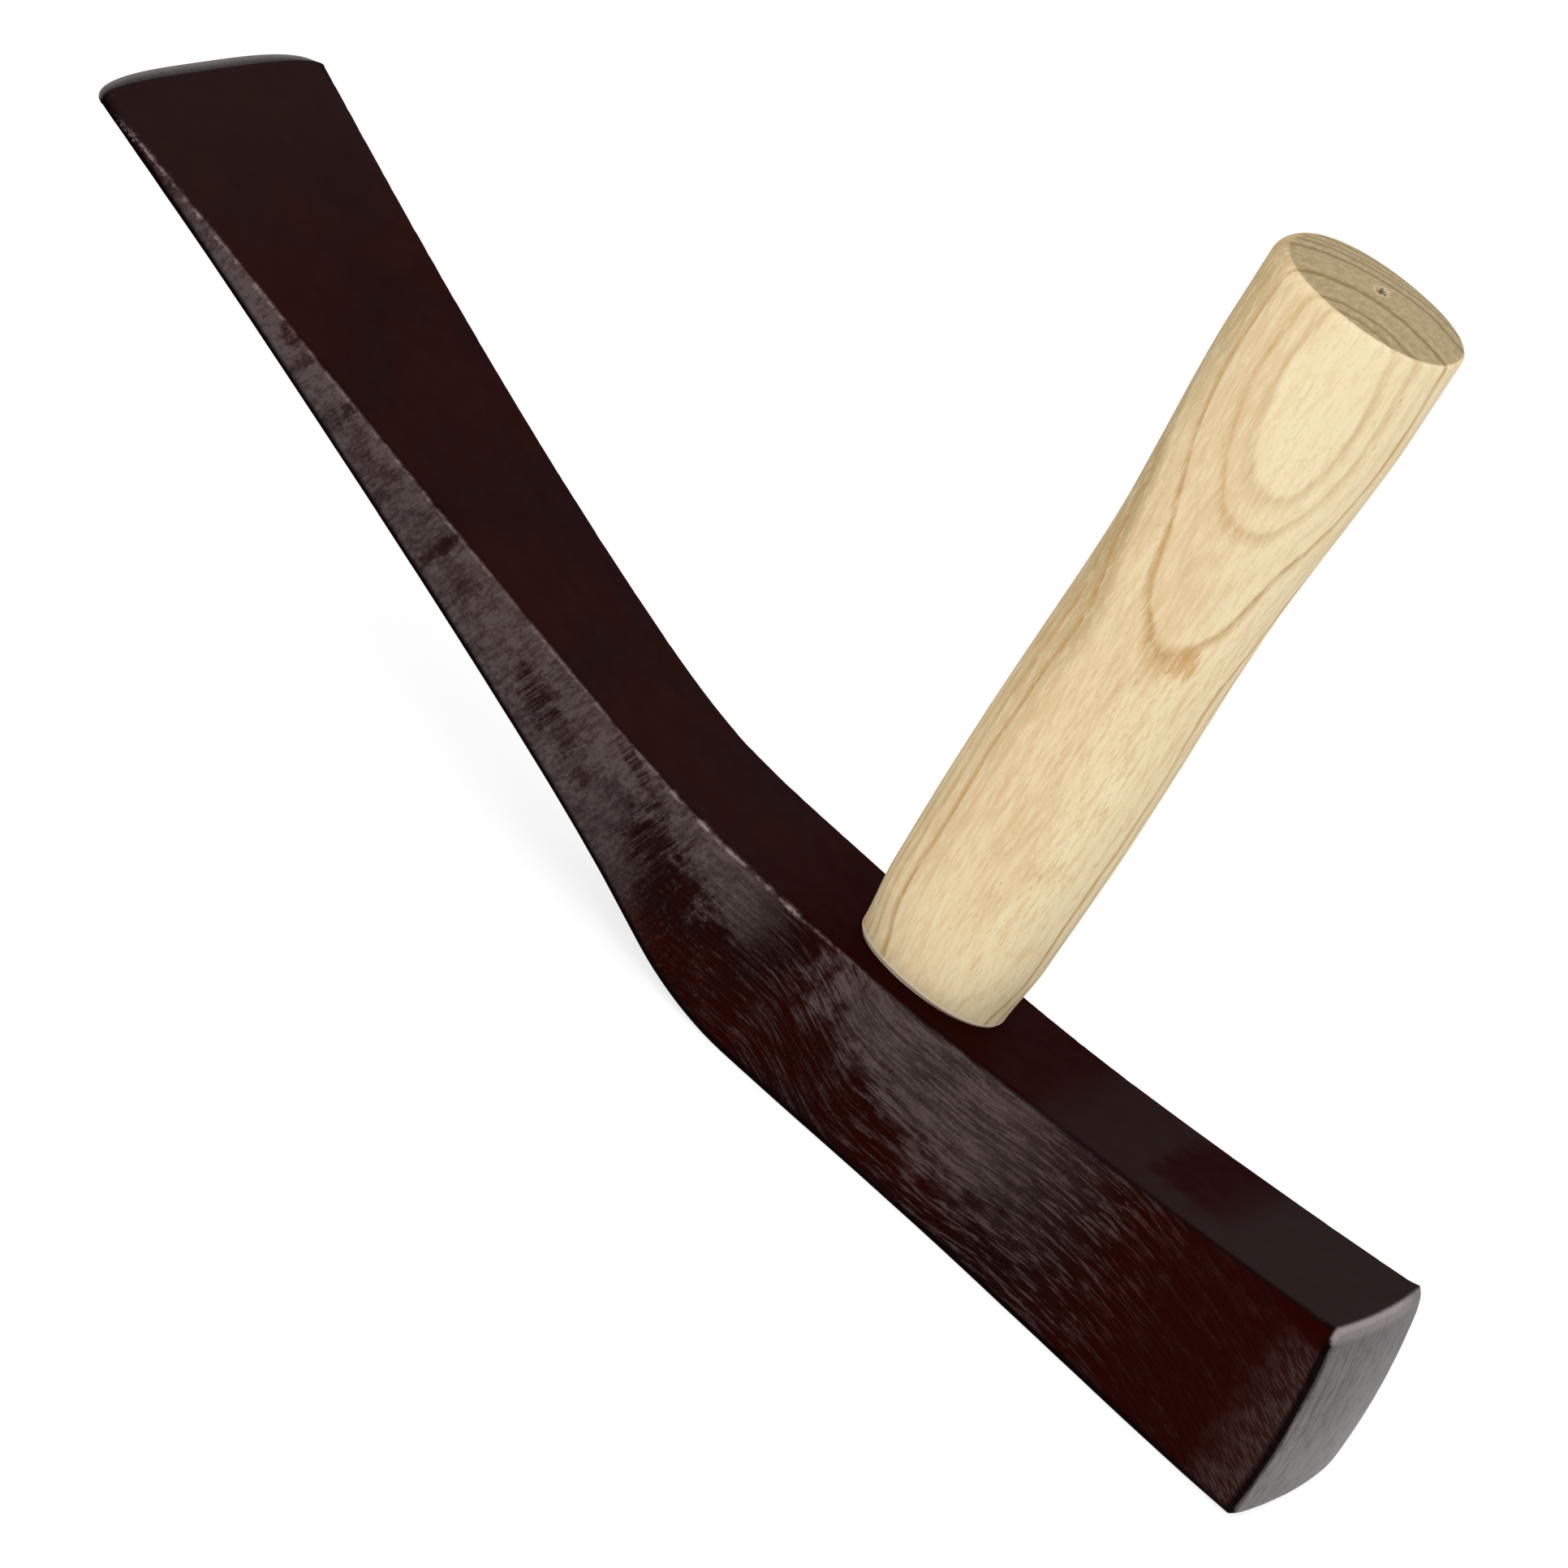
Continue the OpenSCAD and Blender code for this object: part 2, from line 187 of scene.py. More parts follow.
# A geometry tree with one named input for each entry of sizes; build() gets the tree,
# the incoming geometry and the inputs, and returns the geometry
def geometryTree(name, sizes, material, build):
    tree = bpy.data.node_groups.new(name, "GeometryNodeTree")
    tree.interface.new_socket("Geometry", in_out="INPUT", socket_type="NodeSocketGeometry")
    tree.interface.new_socket("Geometry", in_out="OUTPUT", socket_type="NodeSocketGeometry")
    for key in sizes:
        tree.interface.new_socket(key, in_out="INPUT", socket_type="NodeSocketFloat")
    entry = tree.nodes.new("NodeGroupInput")
    inputs = SimpleNamespace(**{key: Field(tree, entry.outputs[key]) for key in sizes})
    made = build(tree, Field(tree, entry.outputs["Geometry"]), inputs)
    made = addNode(tree, "GeometryNodeRealizeInstances", {"Geometry": made})
    made = addNode(tree, "GeometryNodeSetMaterial", {"Geometry": made, "Material": material})
    tree.links.new(made.socket, tree.nodes.new("NodeGroupOutput").inputs["Geometry"])
    return tree


# The geometry without what the named object fills
def cutAway(tree, geometry, name):
    cutter = addNode(tree, "GeometryNodeObjectInfo", {"Object": bpy.data.objects[name]}, output="Geometry")
    return addNode(tree, "GeometryNodeMeshBoolean", {"Mesh 1": geometry, "Mesh 2": cutter},
                   operation="DIFFERENCE", solver="EXACT")


# Runs a geometry tree on a mesh object and leaves its result as the object's plain mesh
def applyTree(piece, tree, sizes):
    modifier = piece.modifiers.new(tree.name, "NODES")
    modifier.node_group = tree
    for item in tree.interface.items_tree:
        if item.in_out == "INPUT" and item.name in sizes:
            modifier[item.identifier] = float(sizes[item.name])
    bpy.context.view_layer.update()
    graph = bpy.context.evaluated_depsgraph_get()
    made = bpy.data.meshes.new_from_object(piece.evaluated_get(graph), depsgraph=graph)
    old = piece.data
    piece.modifiers.clear()
    piece.data = made
    made.name = piece.name
    bpy.data.meshes.remove(old)


# A mesh object from points in mm, with its doubles merged and its faces turned outwards
def meshObject(name, points, faces, weld=0.0005):
    mesh = bpy.data.meshes.new(name)
    mesh.from_pydata(np.asarray(points, float) * mm, [], faces)
    work = bmesh.new()
    work.from_mesh(mesh)
    bmesh.ops.remove_doubles(work, verts=work.verts, dist=weld * mm)
    bmesh.ops.recalc_face_normals(work, faces=work.faces)
    work.to_mesh(mesh)
    work.free()
    piece = bpy.data.objects.new(name, mesh)
    bpy.context.scene.collection.objects.link(piece)
    return piece


def smoothShade(piece, sharpAngle=35):
    piece.data.shade_smooth()
    piece.data.set_sharp_from_angle(angle=math.radians(sharpAngle))


def readVectors(items, name):
    values = np.empty(len(items) * 3, np.float32)
    items.foreach_get(name, values)
    return values.reshape(-1, 3).astype(float)


def meshPoints(mesh):
    return readVectors(mesh.vertices, "co") / mm


def storeAttribute(mesh, name, values):
    if name in mesh.attributes:
        mesh.attributes.remove(mesh.attributes[name])
    made = mesh.attributes.new(name, "FLOAT", "POINT")
    made.data.foreach_set("value", np.asarray(values, np.float32))


# Keeps a shaped mesh within its CAD piece's box, by a hair in mm
def keepInside(piece, node, hair=0.002):
    low, high = (np.array(corner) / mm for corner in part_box(node))
    points = np.clip(meshPoints(piece.data), low + hair, high - hair)
    piece.data.vertices.foreach_set("co", (points * mm).astype(np.float32).ravel())
    piece.data.update()


def finishPiece(piece, slot, *nodes):
    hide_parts(*nodes)
    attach(piece, "root")


def clamp01(v):
    return np.clip(v, 0.0, 1.0)


def mix(a, b, t):
    return a + (b - a) * t


def smooth(v):
    return clamp01(v) ** 2 * (3 - 2 * clamp01(v))


def ease(v, start, stop, power):
    return clamp01((v - start) / (stop - start)) ** power


def bell(v, reach):
    return np.exp(-(v / reach) ** 2)


# Head, in mm and degrees: u runs along X from the bend of the underside, positive to the striking face
headSizes = {
    "bladeLength": 192.0, "hammerLength": 146.0, "bladeWidth": 72.6, "waistWidth": 32.2,
    "rootDepth": 33.0, "bladeAngle": 21.7, "bendRadius": 75.0, "neckBack": 30.0,
    "neckSoftness": 20.0, "flareBack": 26.0, "bladeThickness": 1.5, "edgeLand": 0.4,
    "edgeBow": 5.8, "bevelWidth": 2.8, "cornerBow": 1.6, "edgeSquareness": 3.4, "bevelBulge": 0.12,
    "bladeFlarePower": 1.4, "bladeHollow": 0.7, "edgeRound": 1.3,
    "faceTopWidth": 35.0, "faceBottomWidth": 40.6, "faceHeight": 42.8, "faceCrown": 3.0,
    "faceLean": 3.8, "faceBevel": 1.2, "faceCornerRound": 3.0, "facetHeight": 3.6,
    "facetLength": 42.0, "facetLean": 0.6, "cheekSwell": 1.5, "cheekFromBend": 12.0,
    "cheekReach": 62.0, "topFlareFrom": 31.0, "sideFlareFrom": 10.0, "sideShare": 0.12,
    "flarePower": 1.5,
}
eyeSizes = {
    "fromBend": 33.6, "long": 15.4, "short": 10.0, "neck": 0.62, "flare": 1.5, "flarePower": 1.5,
    "topFlare": 0.4, "chamfer": 0.5, "fit": 0.1, "power": 2.2, "overcut": 2.0,
}
head = SimpleNamespace(**headSizes)
eye = SimpleNamespace(**eyeSizes)
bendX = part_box("head")[0].x / mm + head.bladeLength
eyeX = bendX + eye.fromBend
slope = math.tan(math.radians(head.bladeAngle))
bendReach = head.bendRadius * math.tan(math.radians(head.bladeAngle / 2))
arcEnd = bendReach - head.bendRadius * math.sin(math.radians(head.bladeAngle))
peakAt = min(1.0, head.faceLean / (2 * head.faceCrown))
facePeak = head.faceCrown * (1 - peakAt ** 2 / 2) + head.faceLean / 2 * peakAt
faceEdge = head.hammerLength - facePeak
bevelStart = -(head.bladeLength - head.edgeBow)
bevelShare = 1 - head.bevelWidth / head.edgeBow


# Level along the hammer end, an arc at the bend, then the blade's slope
def underside(u):
    u = np.asarray(u, float)
    arc = head.bendRadius - np.sqrt(np.maximum(head.bendRadius ** 2 - (bendReach - u) ** 2, 0))
    return np.where(u >= bendReach, 0.0, np.where(u > arcEnd, arc, -u * slope))


# Nothing on the hammer end, turning softly into a straight climb along the blade
def neckCurve(u):
    return (np.hypot(u + head.neckBack, head.neckSoftness) - (u + head.neckBack)) / 2


neckRise = (underside(bevelStart) + head.bladeThickness - head.rootDepth) / neckCurve(bevelStart)
faceRise = head.faceHeight - head.rootDepth - neckRise * neckCurve(faceEdge)


# Level at the eye, with a slight hollow along the blade and a rise to the face
def topside(u):
    u = np.asarray(u, float)
    hollow = np.sin(np.pi * clamp01((-u - head.neckBack) / (-bevelStart - head.neckBack))) ** 2
    rise = faceRise * ease(u, head.topFlareFrom, faceEdge, head.flarePower)
    return head.rootDepth + neckRise * neckCurve(u) - head.bladeHollow * hollow + rise


# Half width: a swell beside the eye, and the blade's flare
def waist(u):
    off = (u - head.cheekFromBend) / head.cheekReach
    cheek = np.where(abs(off) < 1, head.cheekSwell * np.cos(np.pi / 2 * off) ** 2, 0.0)
    blade = ease(-u, head.flareBack, -bevelStart, head.bladeFlarePower)
    return head.waistWidth / 2 + cheek + (head.bladeWidth - head.waistWidth) / 2 * blade


# Half widths of the top and the bottom, which grow towards the face
def halfTop(u):
    grow = ease(u, eye.fromBend + eye.long, faceEdge, head.flarePower)
    return waist(u) + (head.faceTopWidth - head.waistWidth) / 2 * grow


def halfBottom(u):
    grow = ease(u, head.sideFlareFrom, faceEdge, head.flarePower)
    return waist(u) + (head.faceBottomWidth - head.waistWidth) / 2 * grow


# Outline of the head at u, from its lower corner to its upper one; a worn facet leans in near the face
def sideLine(u):
    bottom, top = underside(u), topside(u)
    depth = top - bottom
    wide, narrow = halfBottom(u), halfTop(u)
    nearFace = clamp01((u - faceEdge + head.facetLength) / head.facetLength)
    roundTop = np.minimum(head.edgeRound, depth / 4)
    roundLow = mix(roundTop, np.minimum(head.faceCornerRound, depth / 4), nearFace ** 3)
    drop = np.maximum(depth * head.sideShare / 2, head.facetHeight * nearFace - roundTop)
    low = bottom + roundLow + depth * head.sideShare
    high = top - roundTop - drop
    lean = head.facetLean * nearFace
    return SimpleNamespace(
        bottom=bottom, top=top, depth=depth, wide=wide, narrow=narrow,
        roundTop=roundTop, roundLow=roundLow, low=low, high=high,
        lowHalf=mix(wide, narrow, (low - bottom) / depth),
        highHalf=mix(wide, narrow, (high - bottom) / depth) + lean,
        midHalf=(wide + narrow) / 2 + lean / 2, middle=(low + high) / 2,
    )


# Points of a ring and rings of a skin; the spacing and the face's approach are in mm
ringSteps = {
    "side": 13, "sideEnd": 5, "corner": 6, "flat": 32, "spacing": 0.85, "faceApproach": 2.0,
    "face": 26, "faceCentre": 0.04, "eye": 120, "eyeLevels": 24,
}
quarters = (0.25, 0.5, 0.75)
towardsRim = (0.2, 0.4, 0.6, 0.8, 0.93, 1.0)
rowEnd = (0.992, 0.976, 0.95, 0.915)  # shares of the half width, closer near the corners
rowFlat = 0.87
rowShares = (
    *rowEnd, *np.linspace(rowFlat, -rowFlat, ringSteps["flat"]), *(-share for share in rowEnd[::-1])
)


# Half of a row: along the side from near its middle, then round the corner
def halfRow(mid, end, corner, radius, up):
    points = []
    for k in range(ringSteps["side"]):
        t = (k + 0.5) / (ringSteps["side"] - 0.5)
        points.append((mix(mid[0], end[0], t), mix(mid[1], end[1], t)))
    start = (corner[0], corner[1] - up * radius)
    for k in range(1, ringSteps["sideEnd"]):
        t = k / ringSteps["sideEnd"]
        points.append((mix(end[0], start[0], t), mix(end[1], start[1], t)))
    for k in range(ringSteps["corner"] + 1):
        turn = math.pi / 2 * k / ringSteps["corner"]
        across = corner[0] - radius + radius * math.cos(turn)
        points.append((across, corner[1] + up * radius * (math.sin(turn) - 1)))
    return points


def fullRow(half):
    across = [(half[-1][0] * share, half[-1][1]) for share in rowShares]
    return half + across + [(-w, z) for w, z in reversed(half)]


def headSection(u):
    s = sideLine(u)
    below = halfRow((s.midHalf, s.middle), (s.lowHalf, s.low), (s.wide, s.bottom), s.roundLow, -1)
    above = halfRow((s.midHalf, s.middle), (s.highHalf, s.high), (s.narrow, s.top), s.roundTop, 1)
    return np.array(fullRow(below) + fullRow(above)[::-1])


def headRing(u):
    section = headSection(u)
    return np.column_stack([np.full(len(section), bendX + u), section])


# How far the striking face stands out; it is crowned and leans
def crown(y, z):
    across = y / (head.faceBottomWidth / 2)
    up = z / (head.faceHeight / 2) - 1
    return head.faceCrown * (1 - across ** 2 / 2 - up ** 2 / 2) - head.faceLean / 2 * up


def faceRing(share, setBack):
    section = headSection(faceEdge)
    y = section[:, 0] * share
    z = mix(head.faceHeight / 2, section[:, 1], share)
    return np.column_stack([bendX + faceEdge + crown(y, z) - setBack, y, z])


# How far the cutting edge runs out beyond the blade's full width, least at its corners
def bow(y):
    share = np.minimum(abs(y) / (head.bladeWidth / 2), 1)
    return mix(head.cornerBow, head.edgeBow, np.sqrt(1 - share ** head.edgeSquareness))


# Beyond its full width the blade runs out to a bowed line with rounded corners
def bladeEnd(share, thickness):
    section = headSection(bevelStart)
    out = bow(section[:, 0]) * share
    upper = np.arange(len(section)) >= len(section) // 2
    z = underside(bevelStart) + out * slope + upper * thickness
    return np.column_stack([bendX + bevelStart - out, section[:, 0], z])


def between(first, last, shares):
    return [mix(first, last, t) for t in shares]


def stations(start, stop):
    count = max(2, round((stop - start) / ringSteps["spacing"]))
    return [mix(start, stop, k / count) for k in range(count)]


def headRings():
    lastStation = faceEdge - head.faceBevel - head.faceLean / 2 - ringSteps["faceApproach"]
    along = stations(bevelStart, -bendReach) + stations(-bendReach, bendReach)
    body = [headRing(u) for u in along + stations(bendReach, lastStation) + [lastStation]]
    inner = 1 - head.faceBevel * 2 / head.faceBottomWidth
    rim, rimInside = faceRing(1, head.faceBevel), faceRing(inner, 0)
    faceBevel = between(rim, rimInside, quarters)
    for ring, t in zip(faceBevel, quarters):
        ring[:, 0] += head.faceBevel * head.bevelBulge * math.sin(math.pi * t)
    edge, bevel = bladeEnd(1, head.edgeLand), bladeEnd(bevelShare, head.bladeThickness)
    return (
        between(edge, bevel, (0, *quarters)) + between(bevel, body[0], (0, *quarters)) + body
        + between(body[-1], rim, towardsRim) + faceBevel
        + [faceRing(share, 0) for share in np.linspace(inner, ringSteps["faceCentre"], ringSteps["face"])]
    )


# Faces between neighbouring rings of equal point counts
def bandFaces(rings):
    count = len(rings[0])
    faces = []
    for j in range(len(rings) - 1):
        for k in range(count):
            a, b = j * count + k, j * count + (k + 1) % count
            faces.append((a, b, b + count, a + count))
    return faces


# Skin through rings, each end closed by one face
def cutterThrough(name, rings):
    count = len(rings[0])
    last = (len(rings) - 1) * count
    ends = [tuple(range(count)), tuple(range(last, last + count))]
    return meshObject(name, np.concatenate(rings), ends + bandFaces(rings))


# Skin through rings, each end closed by pairing its two rows
def loft(name, rings):
    count = len(rings[0])
    faces = bandFaces(rings)
    for base in (0, (len(rings) - 1) * count):
        for k in range(count // 2 - 1):
            faces.append((base + k, base + k + 1, base + count - 2 - k, base + count - 1 - k))
    return meshObject(name, np.concatenate(rings), faces)


eyeTop = float(topside(eye.fromBend))
eyeNeck = eyeTop * eye.neck


# The eye is narrowest at its neck and widens to both mouths
def eyeSpread(z):
    if z < eyeNeck:
        return eye.flare * ((eyeNeck - z) / eyeNeck) ** eye.flarePower
    return eye.topFlare * min(1.0, (z - eyeNeck) / (eyeTop - eyeNeck))


# Oval of the eye's size at height z, grown on all sides and drawn at another height if need be
def eyeRing(z, grow=0.0, at=None):
    spread = eyeSpread(z) + grow
    count = ringSteps["eye"]
    turn = 2 * np.pi * (np.arange(count) + 0.5) / count
    power = 2 / eye.power
    x = eyeX + (eye.long + spread) * np.sign(np.cos(turn)) * abs(np.cos(turn)) ** power
    y = (eye.short + spread) * np.sign(np.sin(turn)) * abs(np.sin(turn)) ** power
    return np.column_stack([x, y, np.full(count, z if at is None else at)])


def eyeCutter():
    rings = [eyeRing(0, 0, -eye.overcut)]
    rings += [eyeRing(z) for z in np.linspace(0, eyeTop - eye.chamfer, ringSteps["eyeLevels"])]
    rings += [eyeRing(eyeTop, eye.chamfer), eyeRing(eyeTop, eye.chamfer * 3, eyeTop + eye.overcut)]
    return cutterThrough("eyeCutter", rings)


# How the head's zones meet, in mm: each soft border's width, and where the bare face, its rim with a
# painted highlight and the dark line of painted shade behind it lie, measured from the face's rim
zoneSizes = {
    "sideBlend": 1.0, "topBlend": 0.6, "ridgeReach": 1.0, "lowRidgeReach": 2.0, "topRimDepth": 1.5,
    "topRimBlend": 2.0, "bareAtTop": -0.1, "bareBelow": 0.75, "bareBlend": 0.4, "rimAt": 0.75,
    "rimReach": 0.6, "rimStart": -1.0, "lineAt": -0.75, "lineBlend": 0.5,
}


# How near each point of the head lies to its edges and ends, for the forging marks and the finish
def markHead(mesh):
    size = SimpleNamespace(**zoneSizes)
    points = meshPoints(mesh)
    u, y = points[:, 0] - bendX, abs(points[:, 1])
    out = np.maximum(bevelStart - u, 0)
    z = points[:, 2] - out * slope
    s = sideLine(np.clip(u, bevelStart, faceEdge))
    share = clamp01((z - s.bottom) / s.depth)
    half = mix(s.wide, s.narrow, share)
    belowTop, aboveLow = s.top - z, z - s.bottom
    inside = np.where(out > 0, np.minimum(half - y, bow(y) - out), half - y)
    pastRim = points[:, 0] - (bendX + faceEdge + crown(points[:, 1], z) - head.faceBevel)
    fromTop = clamp01((belowTop - size.topRimDepth) / size.topRimBlend)
    bareFrom = mix(size.bareAtTop, size.bareBelow, fromTop)
    ground = clamp01((out / bow(y) - bevelShare) / (1 - bevelShare))
    upper = smooth((aboveLow - belowTop) / size.topBlend + 0.5)
    faceUp = readVectors(mesh.vertex_normals, "vector")[:, 2] > 0
    zones = {
        "upShare": share,
        "topZone": smooth((inside - belowTop) / size.sideBlend + 0.5) * upper,
        "lowZone": smooth((inside - aboveLow) / size.sideBlend + 0.5) * (1 - upper),
        "ridge": bell(np.maximum(belowTop, inside), size.ridgeReach),
        "lowRidge": bell(np.maximum(aboveLow, inside), size.lowRidgeReach),
        "faceZone": smooth((pastRim - bareFrom) / size.bareBlend),
        "faceRim": bell(pastRim - size.rimAt, size.rimReach) * (pastRim > size.rimStart) * (1 - fromTop),
        "faceLine": smooth((pastRim - size.lineAt) / size.lineBlend) * fromTop,
        "tipZone": ground * faceUp,
    }
    for name, values in zones.items():
        storeAttribute(mesh, name, values)


# Marks left by forging and grinding: sizes in mm, strokes run along the head beside the eye
# and across it on the blade
forgeMarks = {
    "hollowDepth": 0.22, "hollowSize": 15.0, "strokeDepth": 0.13, "strokeWidth": 1.7,
    "strokeLength": 15.0, "nickDepth": 0.5, "nickSize": 2.4, "faceDents": 0.06, "dentSize": 5.0,
    "firstNotch": -101.8, "secondNotch": -69.0, "notchDepth": 0.7, "seed": 4.0,
}


# Distances along and across the slope of the blade, for fields and for plain numbers
def bladeLines(x, z, cosine=0.93, sine=0.37):
    return x * cosine - z * sine, x * sine + z * cosine


# The grinding strokes on the hammer end fall beside the handle, climb beyond it and fall again
# towards the face; the places are in mm along the head
strokeLine = {
    "fallStart": 36, "fallEnd": 64, "fall": 9.0, "climbStart": 86.0, "climb": 0.2, "curve": 0.0042,
}


# The same value all along a stroke, for the noise that draws the strokes
def hammerLine(x, z):
    line = SimpleNamespace(**strokeLine)
    fallen = z + x.ramp(line.fallStart, line.fallEnd) * line.fall
    past = (x - line.climbStart).math("MAXIMUM", 0.0)
    return fallen - past * line.climb + past * past * line.curve


def forgeSkin(tree, geometry, size):
    x, y, z = splitVector(inMillimetres(addNode(tree, "GeometryNodeInputPosition")))
    marks = SimpleNamespace(**{
        name: addNode(tree, "GeometryNodeInputNamedAttribute", {"Name": name}, data_type="FLOAT")
        for name in ("topZone", "lowZone", "ridge", "faceZone", "tipZone")
    })

    def lumps(a, b, c, shift):
        moved = joinVector(a + size.seed, b, c + shift)
        return addNode(tree, "ShaderNodeTexNoise", {"Vector": moved, "Scale": 1.0, "Detail": 2.0})

    offFace = 1.0 - marks.faceZone
    side = (1.0 - marks.topZone) * (1.0 - marks.lowZone) * offFace
    onBlade = x.ramp(bendX + 15, bendX - 25)
    nearSide = y.ramp(6, -6)
    alongBlade, acrossBlade = bladeLines(x, z)
    hollow, width, length, nick = size.hollowSize, size.strokeWidth, size.strokeLength, size.nickSize
    hollows = lumps(x / hollow, y / hollow, z / hollow * 1.4, 0.0).ramp(0.3, 0.7)
    alongHead = lumps(x / length, y / width, hammerLine(x, z) / width, 3.0)
    acrossHead = lumps(alongBlade / width, y / length, acrossBlade / length, 7.0)
    strokes = mixValue(onBlade, alongHead, acrossHead).ramp(0.36, 0.64)

    # The ridge is nicked most by the bend, and has two notches further out
    nicks = lumps(x / nick, y / nick, z / nick * 0.7, 11.0).ramp(0.5, 0.68)
    rough = x.ramp(bendX - 30, bendX - 22) * x.ramp(bendX + 18, bendX + 10) * nearSide * 0.9 + 0.2
    fromFirst, fromSecond = ((x - at).math("ABSOLUTE") for at in (size.firstNotch, size.secondNotch))
    notches = fromFirst.math("MINIMUM", fromSecond).ramp(1.8, 0.3) * nearSide * size.notchDepth
    dent = size.dentSize
    dents = lumps(x / dent, y / dent, z / dent, 17.0).ramp(0.5, 0.75)
    depth = (
        hollows * size.hollowDepth * (side * 0.85 + 0.15) * offFace
        + strokes * size.strokeDepth * side
        + (nicks * rough * size.nickDepth + notches) * marks.ridge * offFace
        + dents * size.faceDents * marks.faceZone
    ) * (1.0 - marks.tipZone)
    normal = addNode(tree, "GeometryNodeInputNormal")
    offset = addNode(tree, "ShaderNodeVectorMath", {0: normal, "Scale": depth * -mm}, operation="SCALE")
    moved = addNode(tree, "GeometryNodeSetPosition", {"Geometry": geometry, "Offset": offset})
    return cutAway(tree, moved, "eyeCutter")


# Lacquered forging skin: colours are sRGB, and places are mm in the frame's own axes. A span is
# where something starts to show and where it shows fully, along the head if nothing else is said.
# A blotch is its place (x, z), its reach along and across the blade, its strength and its share
# of ticks
lacquerLooks = {
    "colours": {
        "top": (31, 12, 11), "topRed": (38, 13, 11), "topTip": (38, 26, 23), "topGrey": (37, 27, 25),
        "topRoot": (30, 4, 3), "topPatch": (29, 2, 2), "sideDark": (27, 10, 8), "sideRed": (36, 7, 4),
        "sideGrey": (87, 75, 73), "worn": (156, 137, 133), "lowLine": (10, 5, 5), "facet": (36, 3, 3),
        "streak": (84, 69, 66), "comb": (74, 59, 57), "tipDark": (40, 35, 33),
        "tipLight": (112, 107, 105), "faceDark": (78, 75, 75), "faceLight": (126, 122, 121),
        "faceRim": (154, 143, 141),
    },
    "spans": {
        "topTip": (-110, -165), "topRoot": (10, 40), "topGrey": (88, 100), "topGreyer": (100, 150),
        "patchStart": (112, 117), "patchEnd": (138, 126), "patchAcross": (-13, -5),
        "bloomStart": (-158, -136), "bloomGrows": (-150, -118), "bloomDense": (-70, -98),
        "stripStart": (-120, -90), "besideStart": (40, 52), "besideEnd": (118, 80),
        "besideDrops": (40, 92), "sideReds": (104, 126), "crustFades": (134, 112),
        "shineStart": (60, 84), "shineEnd": (140, 108), "glintStart": (20, 40), "glintEnd": (84, 60),
        "leastShine": (130, 110), "combStart": (152, 165), "facetStart": (142, 156),
        "facetWidens": (142, 166), "darkRidge": (48, 64), "wearStart": (-163, -152),
        "wearEases": (-122, -104), "wearFades": (60, 38), "wearEnd": (128, 105),
        "rubbedStart": (-8, 2), "rubbedEnd": (42, 32), "specksStart": (-112, -130),
        "faceHeight": (10, 40), "rimAcross": (16, 6),
    },
    "blotches": (
        (-110, 60, 2.6, 3.2, 0.8, 0.3), (-105, 56.5, 1.3, 4.5, 0.7, 0.3), (-94, 52, 1.7, 4.5, 0.75, 0.5),
        (-89, 50, 4, 3, 0.4, 0.8), (-82, 46.5, 6, 4, 0.45, 0.5), (-64, 42.5, 1.3, 7, 0.8, 0.1),
        (-56, 40.5, 3, 3.5, 0.45, 0.5), (-30, 30, 9, 3.6, 0.85, 1.0), (-17.5, 23, 2.2, 2.6, 0.65, 0.6),
        (-9.5, 33.5, 6.5, 1.5, 0.8, 1.0), (3, 23.5, 8.5, 6.5, 0.95, 1.0), (11, 17, 7.5, 9, 0.95, 0.3),
    ),
    "farShift": 19.0,  # how far the far side's blotches are moved along the head
    "tickShare": 0.75, "specular": 0.004, "bumpDepth": 0.1, "bumpStrength": 0.7,
}


